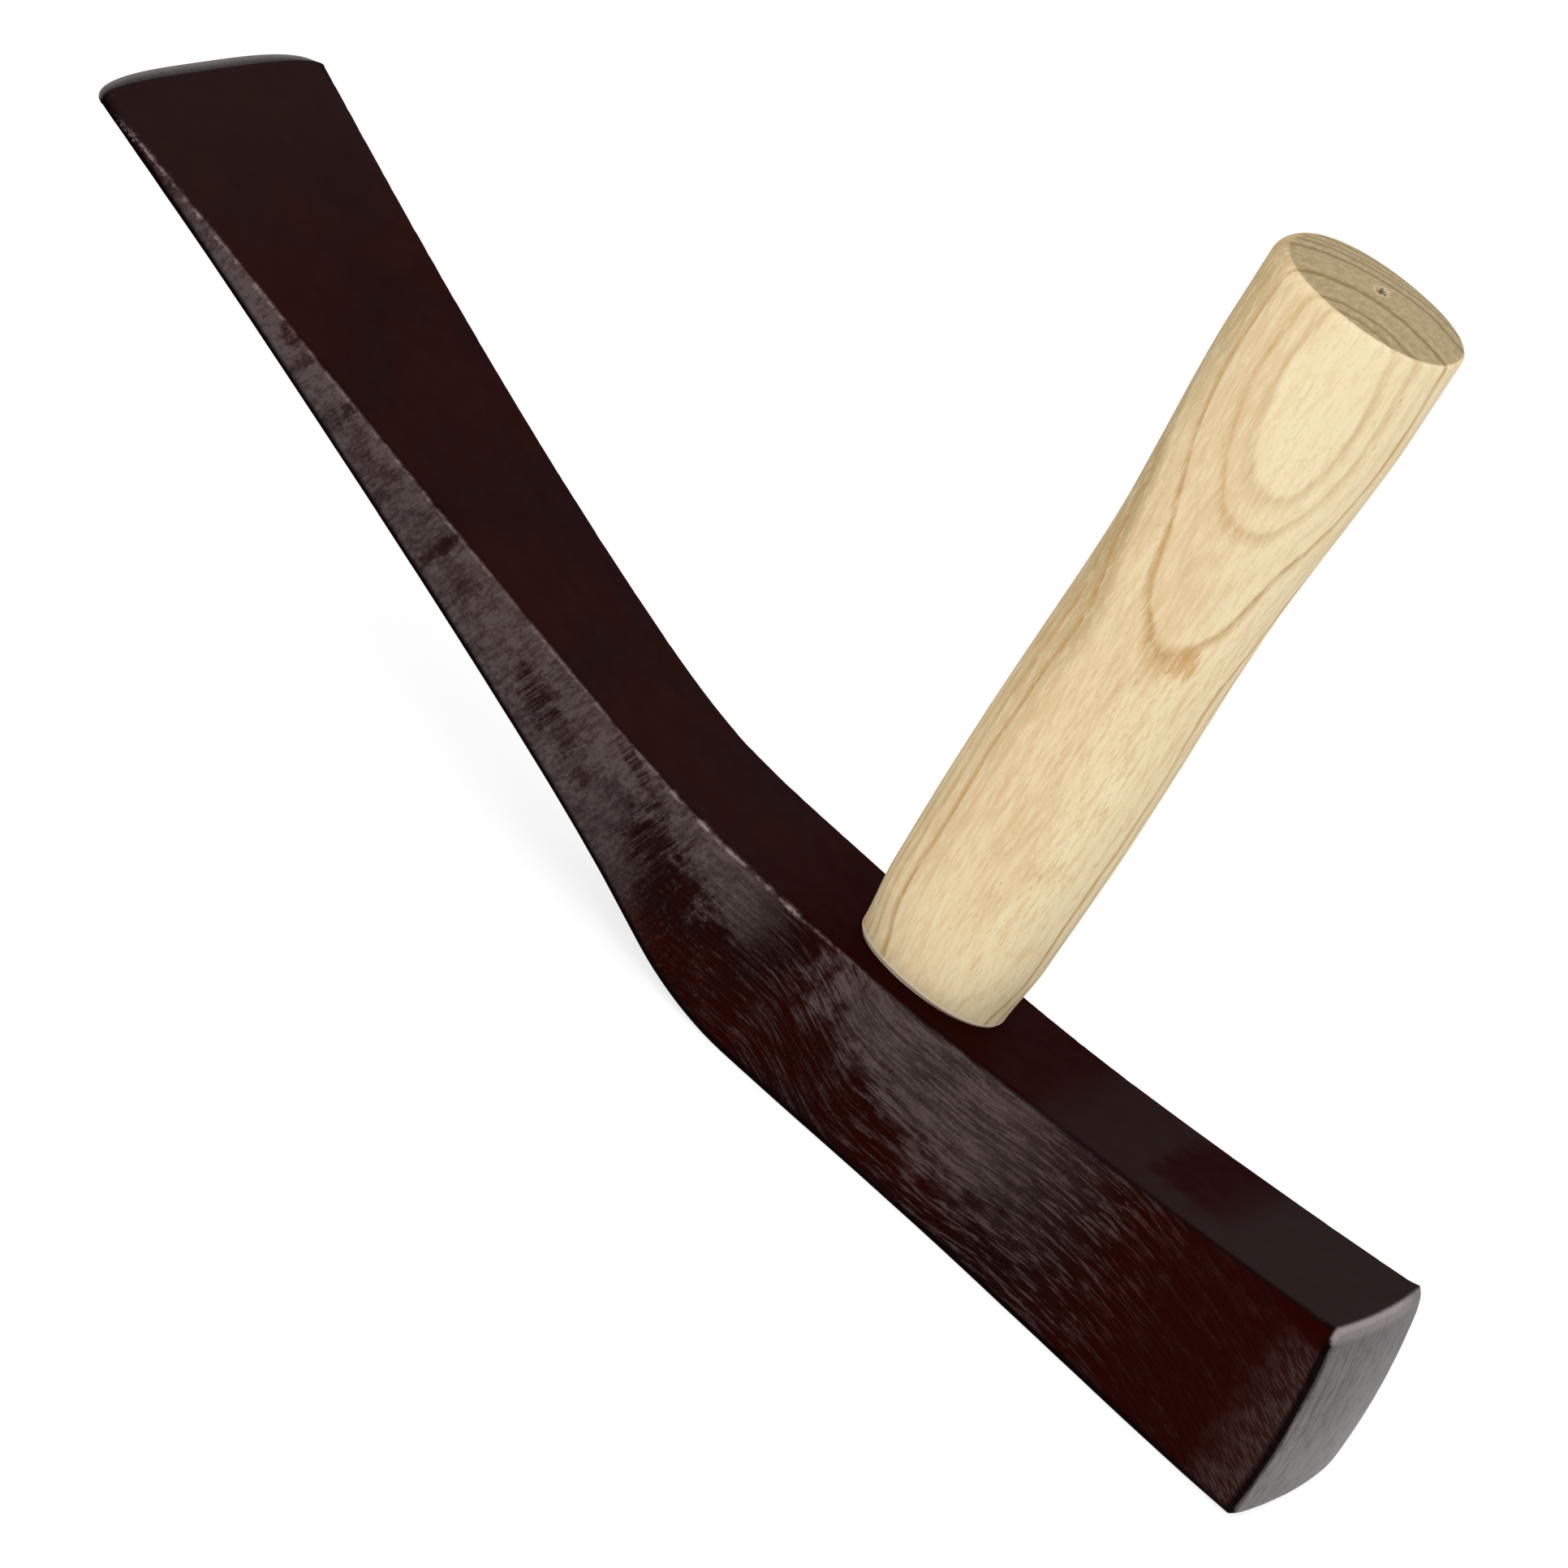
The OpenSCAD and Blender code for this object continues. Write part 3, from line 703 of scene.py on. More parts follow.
def lacqueredSteel():
    looks = paintAll(lacquerLooks["colours"])
    spans = SimpleNamespace(**lacquerLooks["spans"])
    material, shader, place = newMaterial("lacqueredSteel")
    x, y, z = splitVector(place)
    marks = SimpleNamespace(**{name: attribute(place.tree, name) for name in (
        "upShare", "topZone", "lowZone", "ridge", "lowRidge", "faceZone", "faceRim", "faceLine", "tipZone",
    )})
    alongBlade, acrossBlade = bladeLines(x, z)
    sheared = joinVector(x, y, hammerLine(x, z))
    slanted = joinVector(alongBlade, y, acrossBlade)
    clouds = noise(place, (26, 26, 18), detail=4)
    mottle = noise(place, (5, 5, 3.5), detail=5, roughness=0.65, shift=5)
    alongGrain = noise(sheared, (9, 1.0, 0.7), detail=3, roughness=0.62, shift=9, distortion=0.45)
    acrossGrain = noise(slanted, (1.2, 3, 3.2), detail=5, roughness=0.72, shift=13, distortion=0.5)
    speckle = noise(place, (0.8, 0.8, 0.8), detail=3, roughness=0.7, shift=21)
    onBlade = x.ramp(bendX + 12, bendX - 20)
    grain = mixValue(onBlade, alongGrain, acrossGrain)
    uneven, streaky = mottle - 0.5, grain - 0.5

    # Top: nearly black maroon, browner at the blade's end, redder from the bend on, then greyer with
    # a red patch near the face
    top = mixColour(clouds.ramp(0.42, 0.68), looks.top, looks.topRed)
    top = mixColour(x.ramp(*spans.topTip) * 0.6, top, looks.topTip)
    top = mixColour(x.ramp(*spans.topRoot), top, looks.topRoot)
    top = mixColour(x.ramp(*spans.topGrey) * (x.ramp(*spans.topGreyer) * 0.4 + 0.6), top, looks.topGrey)
    ragged = x + uneven * 9.0
    patch = ragged.ramp(*spans.patchStart) * ragged.ramp(*spans.patchEnd)
    patch = patch * (y + uneven * 12.0).ramp(*spans.patchAcross)
    top = mixColour(patch * 0.9, top, looks.topPatch)

    # Sides: a painted grey sheen along the blade, under its ridge and beside the handle, broken up by
    # mottle and grain
    blurred = x + uneven * 30.0 + streaky * 16.0
    high = marks.upShare + uneven * 0.5 + streaky * 0.4
    blade = x.ramp(*spans.bloomStart) * x.ramp(*spans.bloomGrows, 0.7, 1.0)
    blade = blade * blurred.ramp(bendX - 7, bendX - 34) * x.ramp(*spans.bloomDense, 0.86, 1.12)
    strip = x.ramp(*spans.stripStart) * blurred.ramp(bendX + 14, bendX - 2) * high.ramp(0.52, 0.72) * 0.95
    beside = blurred.ramp(*spans.besideStart) * blurred.ramp(*spans.besideEnd)
    beside = beside * (high + x.ramp(*spans.besideDrops) * 0.36).ramp(0.5, 0.82) * 0.84
    paintedSheen = blade.math("MAXIMUM", strip).math("MAXIMUM", beside)
    paintedSheen = paintedSheen * clouds.ramp(0.25, 0.6, 0.66, 1.0) + uneven * paintedSheen.ramp(0, 0.4, 0.25, 1.1)
    paintedSheen = paintedSheen * grain.ramp(0.36, 0.64, 0.5, 1.2) * speckle.ramp(0.3, 0.7, 0.72, 1.18)

    # Blotches where the painted sheen is missing, more or less broken into ticks across the blade
    shownAlong, shownAcross = bladeLines(x + y.ramp(-1, 1) * lacquerLooks["farShift"], z)
    ticks = noise(slanted, (0.62, 9, 9), detail=1, roughness=0.4, shift=31, distortion=0.25).ramp(0.4, 0.58)
    for spotX, spotZ, reach, height, strength, ticked in lacquerLooks["blotches"]:
        spotAlong, spotAcross = bladeLines(spotX, spotZ)
        awayAlong, awayAcross = (shownAlong - spotAlong) / reach, (shownAcross - spotAcross) / height
        away = awayAlong ** 2.0 + awayAcross ** 2.0 + uneven * 3.4 + (speckle - 0.5) * 1.2
        spot = away.ramp(1.7, 0.2) * (1.0 - marks.lowZone) * strength
        inTicks = lacquerLooks["tickShare"] * ticked
        paintedSheen = paintedSheen * (1.0 - spot * (ticks * inTicks + (1.0 - inTicks)))

    # Under the painted sheen: dark red steel with a speckled grey crust
    reds = clouds.ramp(0.4, 0.65).math("MAXIMUM", x.ramp(*spans.sideReds))
    side = mixColour(reds, looks.sideDark, looks.sideRed)
    crust = (speckle * 0.4 + grain * 0.6).ramp(0.5, 0.66) * mottle.ramp(0.3, 0.65)
    side = mixColour(crust * x.ramp(*spans.crustFades, 0.06, 0.4), side, looks.sideGrey)
    # The painted sheen is laid over the steel in grey
    side = mixColour(paintedSheen.ramp(0.0, 1.0, smooth=False), side, looks.sideGrey)

    # Grinding strokes shine through on the hammer end, most beyond the handle and at the face
    shine = x.ramp(*spans.shineStart) * x.ramp(*spans.shineEnd) * 0.42
    glint = x.ramp(*spans.glintStart) * x.ramp(*spans.glintEnd) * 0.16
    shine = (shine + glint) * mottle.ramp(0.3, 0.6, 0.4, 1.2)
    strokes = alongGrain.ramp(0.5, 0.6) * shine.math("MAXIMUM", x.ramp(*spans.leastShine, 0.02, 0.08))
    side = mixColour(strokes * (1.0 - onBlade), side, looks.streak)
    teeth = noise(sheared, (2.4, 2, 0.4), detail=1, roughness=0.4, shift=41).ramp(0.42, 0.6)
    atFace = (x + uneven * 8.0).ramp(*spans.combStart) * marks.upShare.ramp(0.97, 0.8)
    side = mixColour(teeth * atFace * 0.5 + atFace * 0.12, side, looks.comb)
    # Painted shade: the facet under the top edge near the face is darkened
    facet = (marks.upShare + x.ramp(*spans.facetWidens) * 0.07).ramp(0.93, 0.97)
    side = mixColour(x.ramp(*spans.facetStart) * facet * 0.9, side, looks.facet)
    # Painted shade: a near-black line on the face's bevels below its top
    side = mixColour(marks.faceLine * 0.9, side, looks.lowLine)

    # Ridges: the lower one has painted shade, the upper one is worn bare with a painted highlight, but dark
    # again beyond the handle
    crest = marks.ridge.ramp(0.3, 0.85)
    body = mixColour(marks.topZone, side, top)
    body = mixColour(marks.lowRidge.ramp(0.25, 0.8), body, looks.lowLine)
    body = mixColour(crest * x.ramp(*spans.darkRidge) * 0.75, body, looks.lowLine)
    wear = x.ramp(*spans.wearStart) * x.ramp(*spans.wearEases, 1.5, 1.0)
    wear = wear * x.ramp(*spans.wearFades, 0.06, 0.6) * x.ramp(*spans.wearEnd)
    rubbed = x.ramp(*spans.rubbedStart) * x.ramp(*spans.rubbedEnd)
    specks = marks.ridge.ramp(0.05, 0.4) * x.ramp(*spans.specksStart) * speckle.ramp(0.52, 0.6)
    edge = crest.math("MAXIMUM", marks.ridge.ramp(0.1, 0.6) * rubbed).math("MAXIMUM", specks)
    worn = edge * mottle.ramp(0.4, 0.58) * wear.math("MAXIMUM", rubbed * 0.9) * (1.0 - marks.topZone * 0.9)
    body = mixColour(worn * speckle.ramp(0.35, 0.6, 0.3, 1.0), body, looks.worn)

    # Ground steel: the striking face, brushed along its height, and the blade's bevel
    brushed = noise(place, (3, 0.55, 14), detail=4, roughness=0.65, shift=17)
    scuffs = noise(place, (2.2, 2.2, 3.2), detail=4, roughness=0.7, shift=35)
    lowOnFace = 1.0 - z.ramp(*spans.faceHeight)
    faceShare = brushed.ramp(0.4, 0.6) * 0.7 + lowOnFace * 0.3 - scuffs.ramp(0.45, 0.7) * 0.5
    face = mixColour(faceShare.ramp(0.0, 1.0, smooth=False), looks.faceDark, looks.faceLight)
    # Painted highlight: the face's upper rim is lighter
    rim = marks.faceRim * scuffs.ramp(0.3, 0.55, 0.6, 1.0) * y.ramp(*spans.rimAcross, 0.35, 0.95)
    face = mixColour(rim, face, looks.faceRim)
    tipShade = marks.tipZone.ramp(0.25, 1.0) * acrossGrain.ramp(0.3, 0.7, 0.75, 1.0)
    tip = mixColour(tipShade, looks.tipDark, looks.tipLight)
    ground = marks.tipZone.ramp(0.02, 0.2)
    bare = marks.faceZone.math("MAXIMUM", ground)
    colour = mixColour(ground, mixColour(marks.faceZone, body, face), tip)
    roughness = mixValue(bare, mottle.ramp(0.3, 0.7, 0.42, 0.6), brushed.ramp(0.3, 0.7, 0.4, 0.55))
    height = mixValue(bare, grain * (1.0 - marks.topZone * 0.85) + speckle * 0.3, brushed * 0.6)
    dress(shader, colour, roughness, height, lacquerLooks["bumpDepth"], lacquerLooks["bumpStrength"])
    plug(bare * 0.8, shader.inputs["Metallic"])
    shader.inputs["Specular IOR Level"].default_value = lacquerLooks["specular"]
    return material


def makeHead():
    piece = loft("forgedHead", headRings())
    markHead(piece.data)
    cutter = eyeCutter()
    tree = geometryTree("forgeSkin", forgeMarks, lacqueredSteel(), forgeSkin)
    applyTree(piece, tree, forgeMarks)
    bpy.data.objects.remove(cutter)
    keepInside(piece, "head")
    markHead(piece.data)
    smoothShade(piece)
    finishPiece(piece, "lacquered_steel", "head")
    print("head made:", len(piece.data.polygons), "faces")


makeHead()


# Handle, in mm and degrees; its rows of points climb from the tenon's end to the middle of the sawn end
handleSizes = {
    "eyeLong": eye.long, "eyeShort": eye.short, "eyeFlare": eye.flare, "flarePower": eye.flarePower,
    "eyeTopFlare": eye.topFlare, "fit": eye.fit, "eyeTop": eyeTop, "eyeNeck": eyeNeck, "recess": 0.5,
    "length": 195.0, "lean": 1.25, "shoulder": 0.8, "shoulderGap": 0.15, "gripLong": 17.6,
    "gripShort": 11.7, "gripSwell": 0.7, "gripRise": 15.0, "gripEndGap": 2.0, "knobLong": 20.0,
    "knobShort": 13.6, "power": eye.power, "endRound": 0.9, "endWear": 0.8, "wearHeight": 2.4,
    "endSlant": 5.0, "endDome": 1.9, "pitDepth": 1.2, "pitReach": 0.1, "pitCore": 0.03,
    "pitRagged": 0.09, "swellAt": 0.28, "swellReach": 0.3, "knobFrom": 0.57, "knobOver": 0.32,
    "ripple": 0.06, "rippleReach": 12.0, "seed": 2.0,
}
handle = SimpleNamespace(**handleSizes)
handleRows = {
    "cap": 6, "tenon": 22, "gap": 2, "shoulder": 8, "grip": 150, "rise": 4, "edge": 9, "dome": 26,
}
handleColumns = 168


def turnHandle(tree, geometry, s):
    counts = {"Vertices X": sum(handleRows.values()) + 1, "Vertices Y": handleColumns + 1}
    grid = addNode(tree, "GeometryNodeMeshGrid", counts)
    index = addNode(tree, "GeometryNodeInputIndex")
    row = ((index + 0.5) / (handleColumns + 1)).math("FLOOR")
    column = index - row * (handleColumns + 1)
    turn = column * (2 * math.pi / handleColumns)

    climb, start = {}, 0
    for key, count in handleRows.items():
        climb[key] = row.ramp(start, start + count, smooth=False)
        start += count
    lastTenonRow = handleRows["cap"] + handleRows["tenon"]
    onGrip = row.ramp(lastTenonRow, lastTenonRow + 1, smooth=False)

    def quarter(t, trig):
        return (t * (math.pi / 2)).math(trig)

    shoulderZ = s.eyeTop + s.shoulderGap
    endEdge = s.length - s.endDome
    gripTop = endEdge - s.endRound - s.wearHeight - s.gripEndGap
    shoulderTop = shoulderZ + s.shoulder
    z = (
        s.recess + climb["tenon"] * (s.eyeTop - s.recess) + climb["gap"] * s.shoulderGap
        + (1.0 - quarter(climb["shoulder"], "COSINE")) * s.shoulder
        + climb["grip"] * (gripTop - shoulderTop)
    )

    # Tenon: it follows the eye, which widens from its neck to both mouths
    below = ((s.eyeNeck - z) / s.eyeNeck).math("MAXIMUM", 0.0) ** s.flarePower * s.eyeFlare
    above = z.ramp(s.eyeNeck, s.eyeTop, smooth=False) * s.eyeTopFlare
    spread = below + above - s.fit

    # Grip and knob above the shoulder
    along = (z - s.eyeTop) / (s.length - s.eyeTop)
    off = ((along - s.swellAt) / s.swellReach).math("MAXIMUM", -1.0).math("MINIMUM", 1.0)
    swell = (off * (math.pi / 2)).math("COSINE") ** 2.0 * s.gripSwell
    toGrip = z.ramp(shoulderZ, shoulderZ + s.gripRise)
    toKnob = along.ramp(s.knobFrom, s.knobFrom + s.knobOver)
    tuck = (1.0 - quarter(climb["shoulder"], "SINE")) * s.shoulder
    turnIn = 1.0 - quarter(climb["edge"], "COSINE")

    def halfWidth(eyeHalf, grip, knob, wear):
        rim = eyeHalf + s.eyeTopFlare - s.fit + s.shoulder
        body = mixValue(toKnob, mixValue(toGrip, rim, grip), knob) + swell - tuck
        return mixValue(onGrip, eyeHalf + spread, body) - turnIn * (s.endRound + wear)

    share = climb["cap"] * (1.0 - climb["dome"])
    halfLong = halfWidth(s.eyeLong, s.gripLong, s.knobLong, s.endWear) * share
    halfShort = halfWidth(s.eyeShort, s.gripShort, s.knobShort, 0.0) * share

    def rounded(trig):
        value = turn.math(trig)
        return value.math("SIGN") * value.math("ABSOLUTE") ** (2.0 / s.power)

    shift = s.lean * along.math("MAXIMUM", 0.0) + s.endWear * turnIn
    x = halfLong * rounded("COSINE") + shift
    y = halfShort * rounded("SINE")

    # Sawn end: its edge is worn lower on the blade's side, then a low dome with the lathe's pit
    bladeSide = (1.0 - x / s.knobLong) * 0.5
    drop = s.endRound + s.wearHeight * bladeSide
    z = z + climb["rise"] * (endEdge - drop - gripTop) + quarter(climb["edge"], "SINE") * drop
    domeShare = 1.0 - climb["dome"]
    z = z + (1.0 - domeShare ** 2.0) * s.endDome
    z = z + y * (s.endSlant * (math.pi / 180)).math("TANGENT") * climb["rise"]
    place = joinVector(x + s.seed, y, z)
    chips = noise(place, (0.8, 0.8, 0.8), detail=3)
    pit = (domeShare + (chips - 0.5) * s.pitRagged).ramp(s.pitReach, s.pitCore)
    z = z - pit * s.pitDepth * chips.ramp(0.2, 0.7, 0.7, 1.0)

    # Faint flats and ripples left by sanding, always inwards
    wave = noise(place, (9, 9, 22), detail=2).ramp(0.3, 0.7) * s.ripple * onGrip
    inwards = 1.0 - wave / s.rippleReach
    placed = joinVector((x - shift) * inwards + shift + eyeX, y * inwards, z)
    placed = vectorMath(placed, "MULTIPLY", (mm, mm, mm))
    made = addNode(tree, "GeometryNodeSetPosition", {"Geometry": grid, "Position": placed})
    made = addNode(tree, "GeometryNodeMergeByDistance", {"Geometry": made, "Distance": 0.002 * mm})
    for name in ("kerfCutter", "woodCutter", "steelCutterBlade", "steelCutterFace"):
        made = cutAway(tree, made, name)
    return made


# Slots for the wedges, in mm: the gaps are measured from the top of the head and from the ends
# and sides of the eye
wedgeSizes = {
    "kerfWidth": 1.4, "kerfEndGap": 4.5, "woodTipGap": 8.0, "woodHead": 5.2, "woodTip": 1.8,
    "steelTipGap": 12.0, "steelSideGap": 2.5, "steelHead": 3.4, "steelTip": 0.8,
    "steelEndGap": 7.8, "fit": 0.06,
}
wedge = SimpleNamespace(**wedgeSizes)


# Outline of a slot in (across, height) pairs, for a wedge this thick below and this thin at its tip
def taper(thick, thin, top, grow=0.0):
    low = handle.recess - eye.overcut
    halfLow = mix(thick, thin, (low - handle.recess) / (top - handle.recess)) / 2 + grow
    halfTip = thin / 2 + grow
    return [(-halfLow, low), (halfLow, low), (halfTip, top + grow), (-halfTip, top + grow)]


# The kerf and the wooden wedge's slot run along the eye, the steel wedges' slots across it
def slotCutters():
    kerf = taper(wedge.kerfWidth, wedge.kerfWidth, eyeTop - wedge.kerfEndGap)
    wood = taper(wedge.woodHead, wedge.woodTip, eyeTop - wedge.woodTipGap, wedge.fit)
    steel = taper(wedge.steelHead, wedge.steelTip, eyeTop - wedge.steelTipGap, wedge.fit)
    ends = (eyeX - eye.long * 2, eyeX + eye.long * 2)
    made = [
        cutterThrough(name, [[(x, a, z) for a, z in outline] for x in ends])
        for name, outline in (("kerfCutter", kerf), ("woodCutter", wood))
    ]
    half = eye.short - wedge.steelSideGap + wedge.fit
    for name, side in (("steelCutterBlade", -1), ("steelCutterFace", 1)):
        at = eyeX + side * (eye.long - wedge.steelEndGap)
        made.append(cutterThrough(name, [[(at + a, y, z) for a, z in steel] for y in (-half, half)]))
    return made


# Ash: rings are laid round a pith in front of the handle. The pith's way up the handle bends, so
# that the rings run in arches on its broad front and in long curves on its sawn end. A ring is its
# distance from the pith in mm and how dark its line is, a point of the way its height and its rise.
# Spans say where something starts to show and where it shows fully, by rings or by x, y or z
ashLooks = {
    "colours": {
        "pale": (243, 227, 186), "cream": (235, 210, 163), "tan": (216, 182, 136),
        "line": (182, 134, 70), "grey": (178, 154, 106), "endPale": (182, 162, 123),
        "endTan": (158, 139, 101), "endLine": (116, 95, 60), "fleck": (196, 140, 66),
        "pit": (74, 60, 44), "chip": (216, 200, 166), "footRim": (255, 240, 216),
    },
    "pith": (72.0, -45.0),
    "rings": (
        (27.2, 0.5), (29.5, 0.5), (32.4, 0.14), (35.0, 0.9), (38.4, 0.16), (40.7, 0.14), (43.3, 1.0),
        (46.4, 0.7), (48.8, 0.5), (51.6, 0.7),
    ),
    "ringLine": (-0.35, 0.05, 1.15), "ringsFrom": 20.0, "ringsTo": 62.0,
    "porousRings": ((29.4, 29.8, 30.2, 32.0), (35.0, 35.4, 35.6, 38.0)),
    "pithWay": (
        (0, -4.0), (34, -3.0), (45, -1.3), (66, -1.0), (84, -0.7), (98, -0.8), (112, -1.2), (121, 0.0),
        (127, 1.7), (133, 2.6), (143, 3.9), (150, 5.4), (163, 7.4), (175, 7.9), (189, 7.4), (196, 7.2),
        (200, 7.2),
    ),
    "wayHeight": 200.0, "wayReach": 10.0,
    "spans": {
        "tanRings": (26.5, 29.0), "paleRings": (27.0, 25.0), "sunX": (60, 72), "sunY": (4, -4),
        "greyRings": (39.5, 42.6), "greyX": (66, 54), "greyY": (9, 2), "greyZ": (60, 150),
        "edgeX": (49, 41), "edgeZ": (138, 180), "litX": (64, 73), "litY": (3, -5), "litFoot": (62, 44),
        "archRings": (36.6, 37.6), "archZ": (106, 119), "backRings": (52.6, 53.4), "backY": (1, 5),
        "fibresAbove": (140, 110), "fibresBelow": (40, 75), "fleckY": (-3, -6), "endRings": (44, 34),
    },
    "fleckX": 68.8, "fleckZ": 119.0, "fleckWidth": 2.2, "fleckHeight": 4.0,
    # The foot's pale rim is a painted highlight
    "rimAbove": (1.5, 0.7),  # where the pale rim at the foot starts and is full, above the head
    "specular": 0.25, "bumpDepth": 0.05, "bumpStrength": 0.5,
}


# How far the pith has moved towards the handle at each height, in mm
def pithRise(z):
    height, reach = ashLooks["wayHeight"], ashLooks["wayReach"]
    way = addNode(z.tree, "ShaderNodeFloatCurve", {"Value": z / height})
    mapping = way.socket.node.mapping
    points = mapping.curves[0].points
    first, *others, last = [(at / height, (rise + reach) / (2 * reach)) for at, rise in ashLooks["pithWay"]]
    for place in others:
        points.new(*place)
    points[0].location = first
    points[-1].location = last
    mapping.update()
    return way * (2 * reach) - reach


# Dark lines of the rings, each rising quickly and fading outwards
def ringLines(ring):
    first, last = ashLooks["ringsFrom"], ashLooks["ringsTo"]
    stops = [(0.0, (0, 0, 0, 1))]
    for at, strength in ashLooks["rings"]:
        for shift, value in zip(ashLooks["ringLine"], (0.0, strength, 0.0)):
            stops.append(((at + shift - first) / (last - first), (value, value, value, 1)))
    return colourRamp((ring - first) / (last - first), stops)


def ash():
    looks = paintAll(ashLooks["colours"])
    spans = SimpleNamespace(**ashLooks["spans"])
    material, shader, place = newMaterial("ash")
    x, y, z = splitVector(place)
    endGrain, pit = attribute(place.tree, "endGrain"), attribute(place.tree, "pit")
    wobble = noise(place, (13, 13, 40), detail=2, roughness=0.45) - 0.5
    jitter = noise(place, (1.4, 1.4, 7), detail=3, roughness=0.65, shift=3) - 0.5
    streaks = noise(place, (1.2, 1.2, 22), detail=4, roughness=0.6, shift=7)
    pores = noise(place, (0.45, 0.45, 2.6), detail=2, roughness=0.6, shift=15)
    dust = noise(place, (0.7, 0.7, 1.6), detail=3, roughness=0.7, shift=27)
    clouds = noise(place, (8, 8, 24), detail=3, shift=19)
    fibres = noise(place, (0.8, 0.8, 5.5), detail=3, roughness=0.65, shift=43)
    fromPithX, fromPithY = x - ashLooks["pith"][0], y - ashLooks["pith"][1]
    away = (fromPithX * fromPithX + fromPithY * fromPithY).math("SQRT")
    ring = away - pithRise(z) + wobble * 2.2 + jitter * 0.7
    line = ringLines(ring)

    # Body colour: paler inside the arches; painted light makes it paler on the lit side and at the foot,
    # and painted shade makes it greyer on the blade's side, most at its upper edge
    wood = mixColour(streaks.ramp(0.35, 0.65) * 0.8, looks.pale, looks.cream)
    sunlit = x.ramp(*spans.sunX) * y.ramp(*spans.sunY) * 0.3
    tanShare = ring.ramp(*spans.tanRings) * (clouds.ramp(0.36, 0.64, 0.26, 0.56) - sunlit)
    wood = mixColour(tanShare, wood, looks.tan)
    wood = mixColour(ring.ramp(*spans.paleRings) * 0.6, wood, looks.pale)
    # Painted shade on the blade's side and its upper edge
    greyShade = ring.ramp(*spans.greyRings) * x.ramp(*spans.greyX) * z.ramp(*spans.greyZ, 0.15, 1.0)
    edgeShade = (x + jitter * 5.0).ramp(*spans.edgeX) * z.ramp(*spans.edgeZ, 0.0, 0.8)
    wood = mixColour(greyShade.math("MAXIMUM", edgeShade) * y.ramp(*spans.greyY), wood, looks.grey)
    # Painted light on the lit side and towards the foot
    lit = x.ramp(*spans.litX) * y.ramp(*spans.litY) * 0.6
    wood = mixColour(lit.math("MAXIMUM", z.ramp(*spans.litFoot) * 0.35), wood, looks.pale)

    # Lines: the inner arches show only high up, and the back has plain lines of its own
    arches = ring.ramp(*spans.archRings).math("MAXIMUM", z.ramp(*spans.archZ))
    behind = (ring * 2.3).math("SINE").ramp(0.8, 1.0) * ring.ramp(*spans.backRings) * y.ramp(*spans.backY)
    line = (line * arches).math("MAXIMUM", behind * 0.6)
    wood = mixColour(line * streaks.ramp(0.3, 0.7, 0.7, 1.0) * 0.95, wood, looks.line)

    # Fibres, pores outside two of the lines, dust, one brown fleck and the foot's pale rim, a painted
    # highlight
    darkFibres = fibres.ramp(0.5, 0.64) * z.ramp(*spans.fibresAbove, 0.25, 0.5)
    wood = mixColour(darkFibres * z.ramp(*spans.fibresBelow, 0.6, 1.0), wood, looks.tan)
    wood = mixColour(fibres.ramp(0.5, 0.38) * 0.35, wood, looks.pale)
    inner, outer = (ring.ramp(a, b) * ring.ramp(d, c) for a, b, c, d in ashLooks["porousRings"])
    wood = mixColour(pores.ramp(0.58, 0.72) * ((outer + inner) * 0.3 + 0.07), wood, looks.line)
    wood = mixColour(dust.ramp(0.5, 0.75) * 0.34, wood, looks.tan)
    fleckX = (x - ashLooks["fleckX"]) / ashLooks["fleckWidth"]
    fleckZ = (z - ashLooks["fleckZ"]) / ashLooks["fleckHeight"]
    fleck = (fleckX ** 2.0 + fleckZ ** 2.0 + jitter * 4.0).ramp(1.3, 0.0)
    wood = mixColour(fleck * y.ramp(*spans.fleckY) * 0.65, wood, looks.fleck)
    # Painted highlight: a pale rim just above the head
    footRim = z.ramp(*(eyeTop + above for above in ashLooks["rimAbove"]))
    wood = mixColour(footRim * 0.8, wood, looks.footRim)

    # Sawn ends: darker end grain with the same rings, and the lathe's pit with pale chips round it
    cut = mixColour(streaks.ramp(0.3, 0.7), looks.endPale, looks.endTan)
    waves = (ring * 1.9).math("SINE").ramp(0.3, 1.0) * ring.ramp(*spans.endRings)
    cut = mixColour(waves * 0.3, cut, looks.endPale)
    cut = mixColour(line.ramp(0.05, 0.5) * 0.6, cut, looks.endLine)
    cut = mixColour(dust.ramp(0.5, 0.75) * 0.18, cut, looks.endLine)
    cut = mixColour(pit.ramp(0.02, 0.25) * pores.ramp(0.4, 0.55) * 0.7, cut, looks.chip)
    cut = mixColour((pit + (dust - 0.5) * 0.7).ramp(0.4, 0.7) * 0.85, cut, looks.pit)
    roughness = mixValue(endGrain, streaks.ramp(0.3, 0.7, 0.5, 0.62), 0.75)
    colour = mixColour(endGrain, wood, cut)
    height = streaks * 0.4 + pores * 0.7 - line * 0.3
    dress(shader, colour, roughness, height, ashLooks["bumpDepth"], ashLooks["bumpStrength"])
    shader.inputs["Specular IOR Level"].default_value = ashLooks["specular"]
    return material


# Where the sawn ends and the lathe's pit lie on the finished handle: heights and reach are in mm,
# sawnOver and sawnBlend are shares of the upper end's outline
endMarks = {"sawnFrom": 185.0, "sawnOver": 1.06, "sawnBlend": 0.06, "footSkin": 0.02, "pitReach": 1.3}


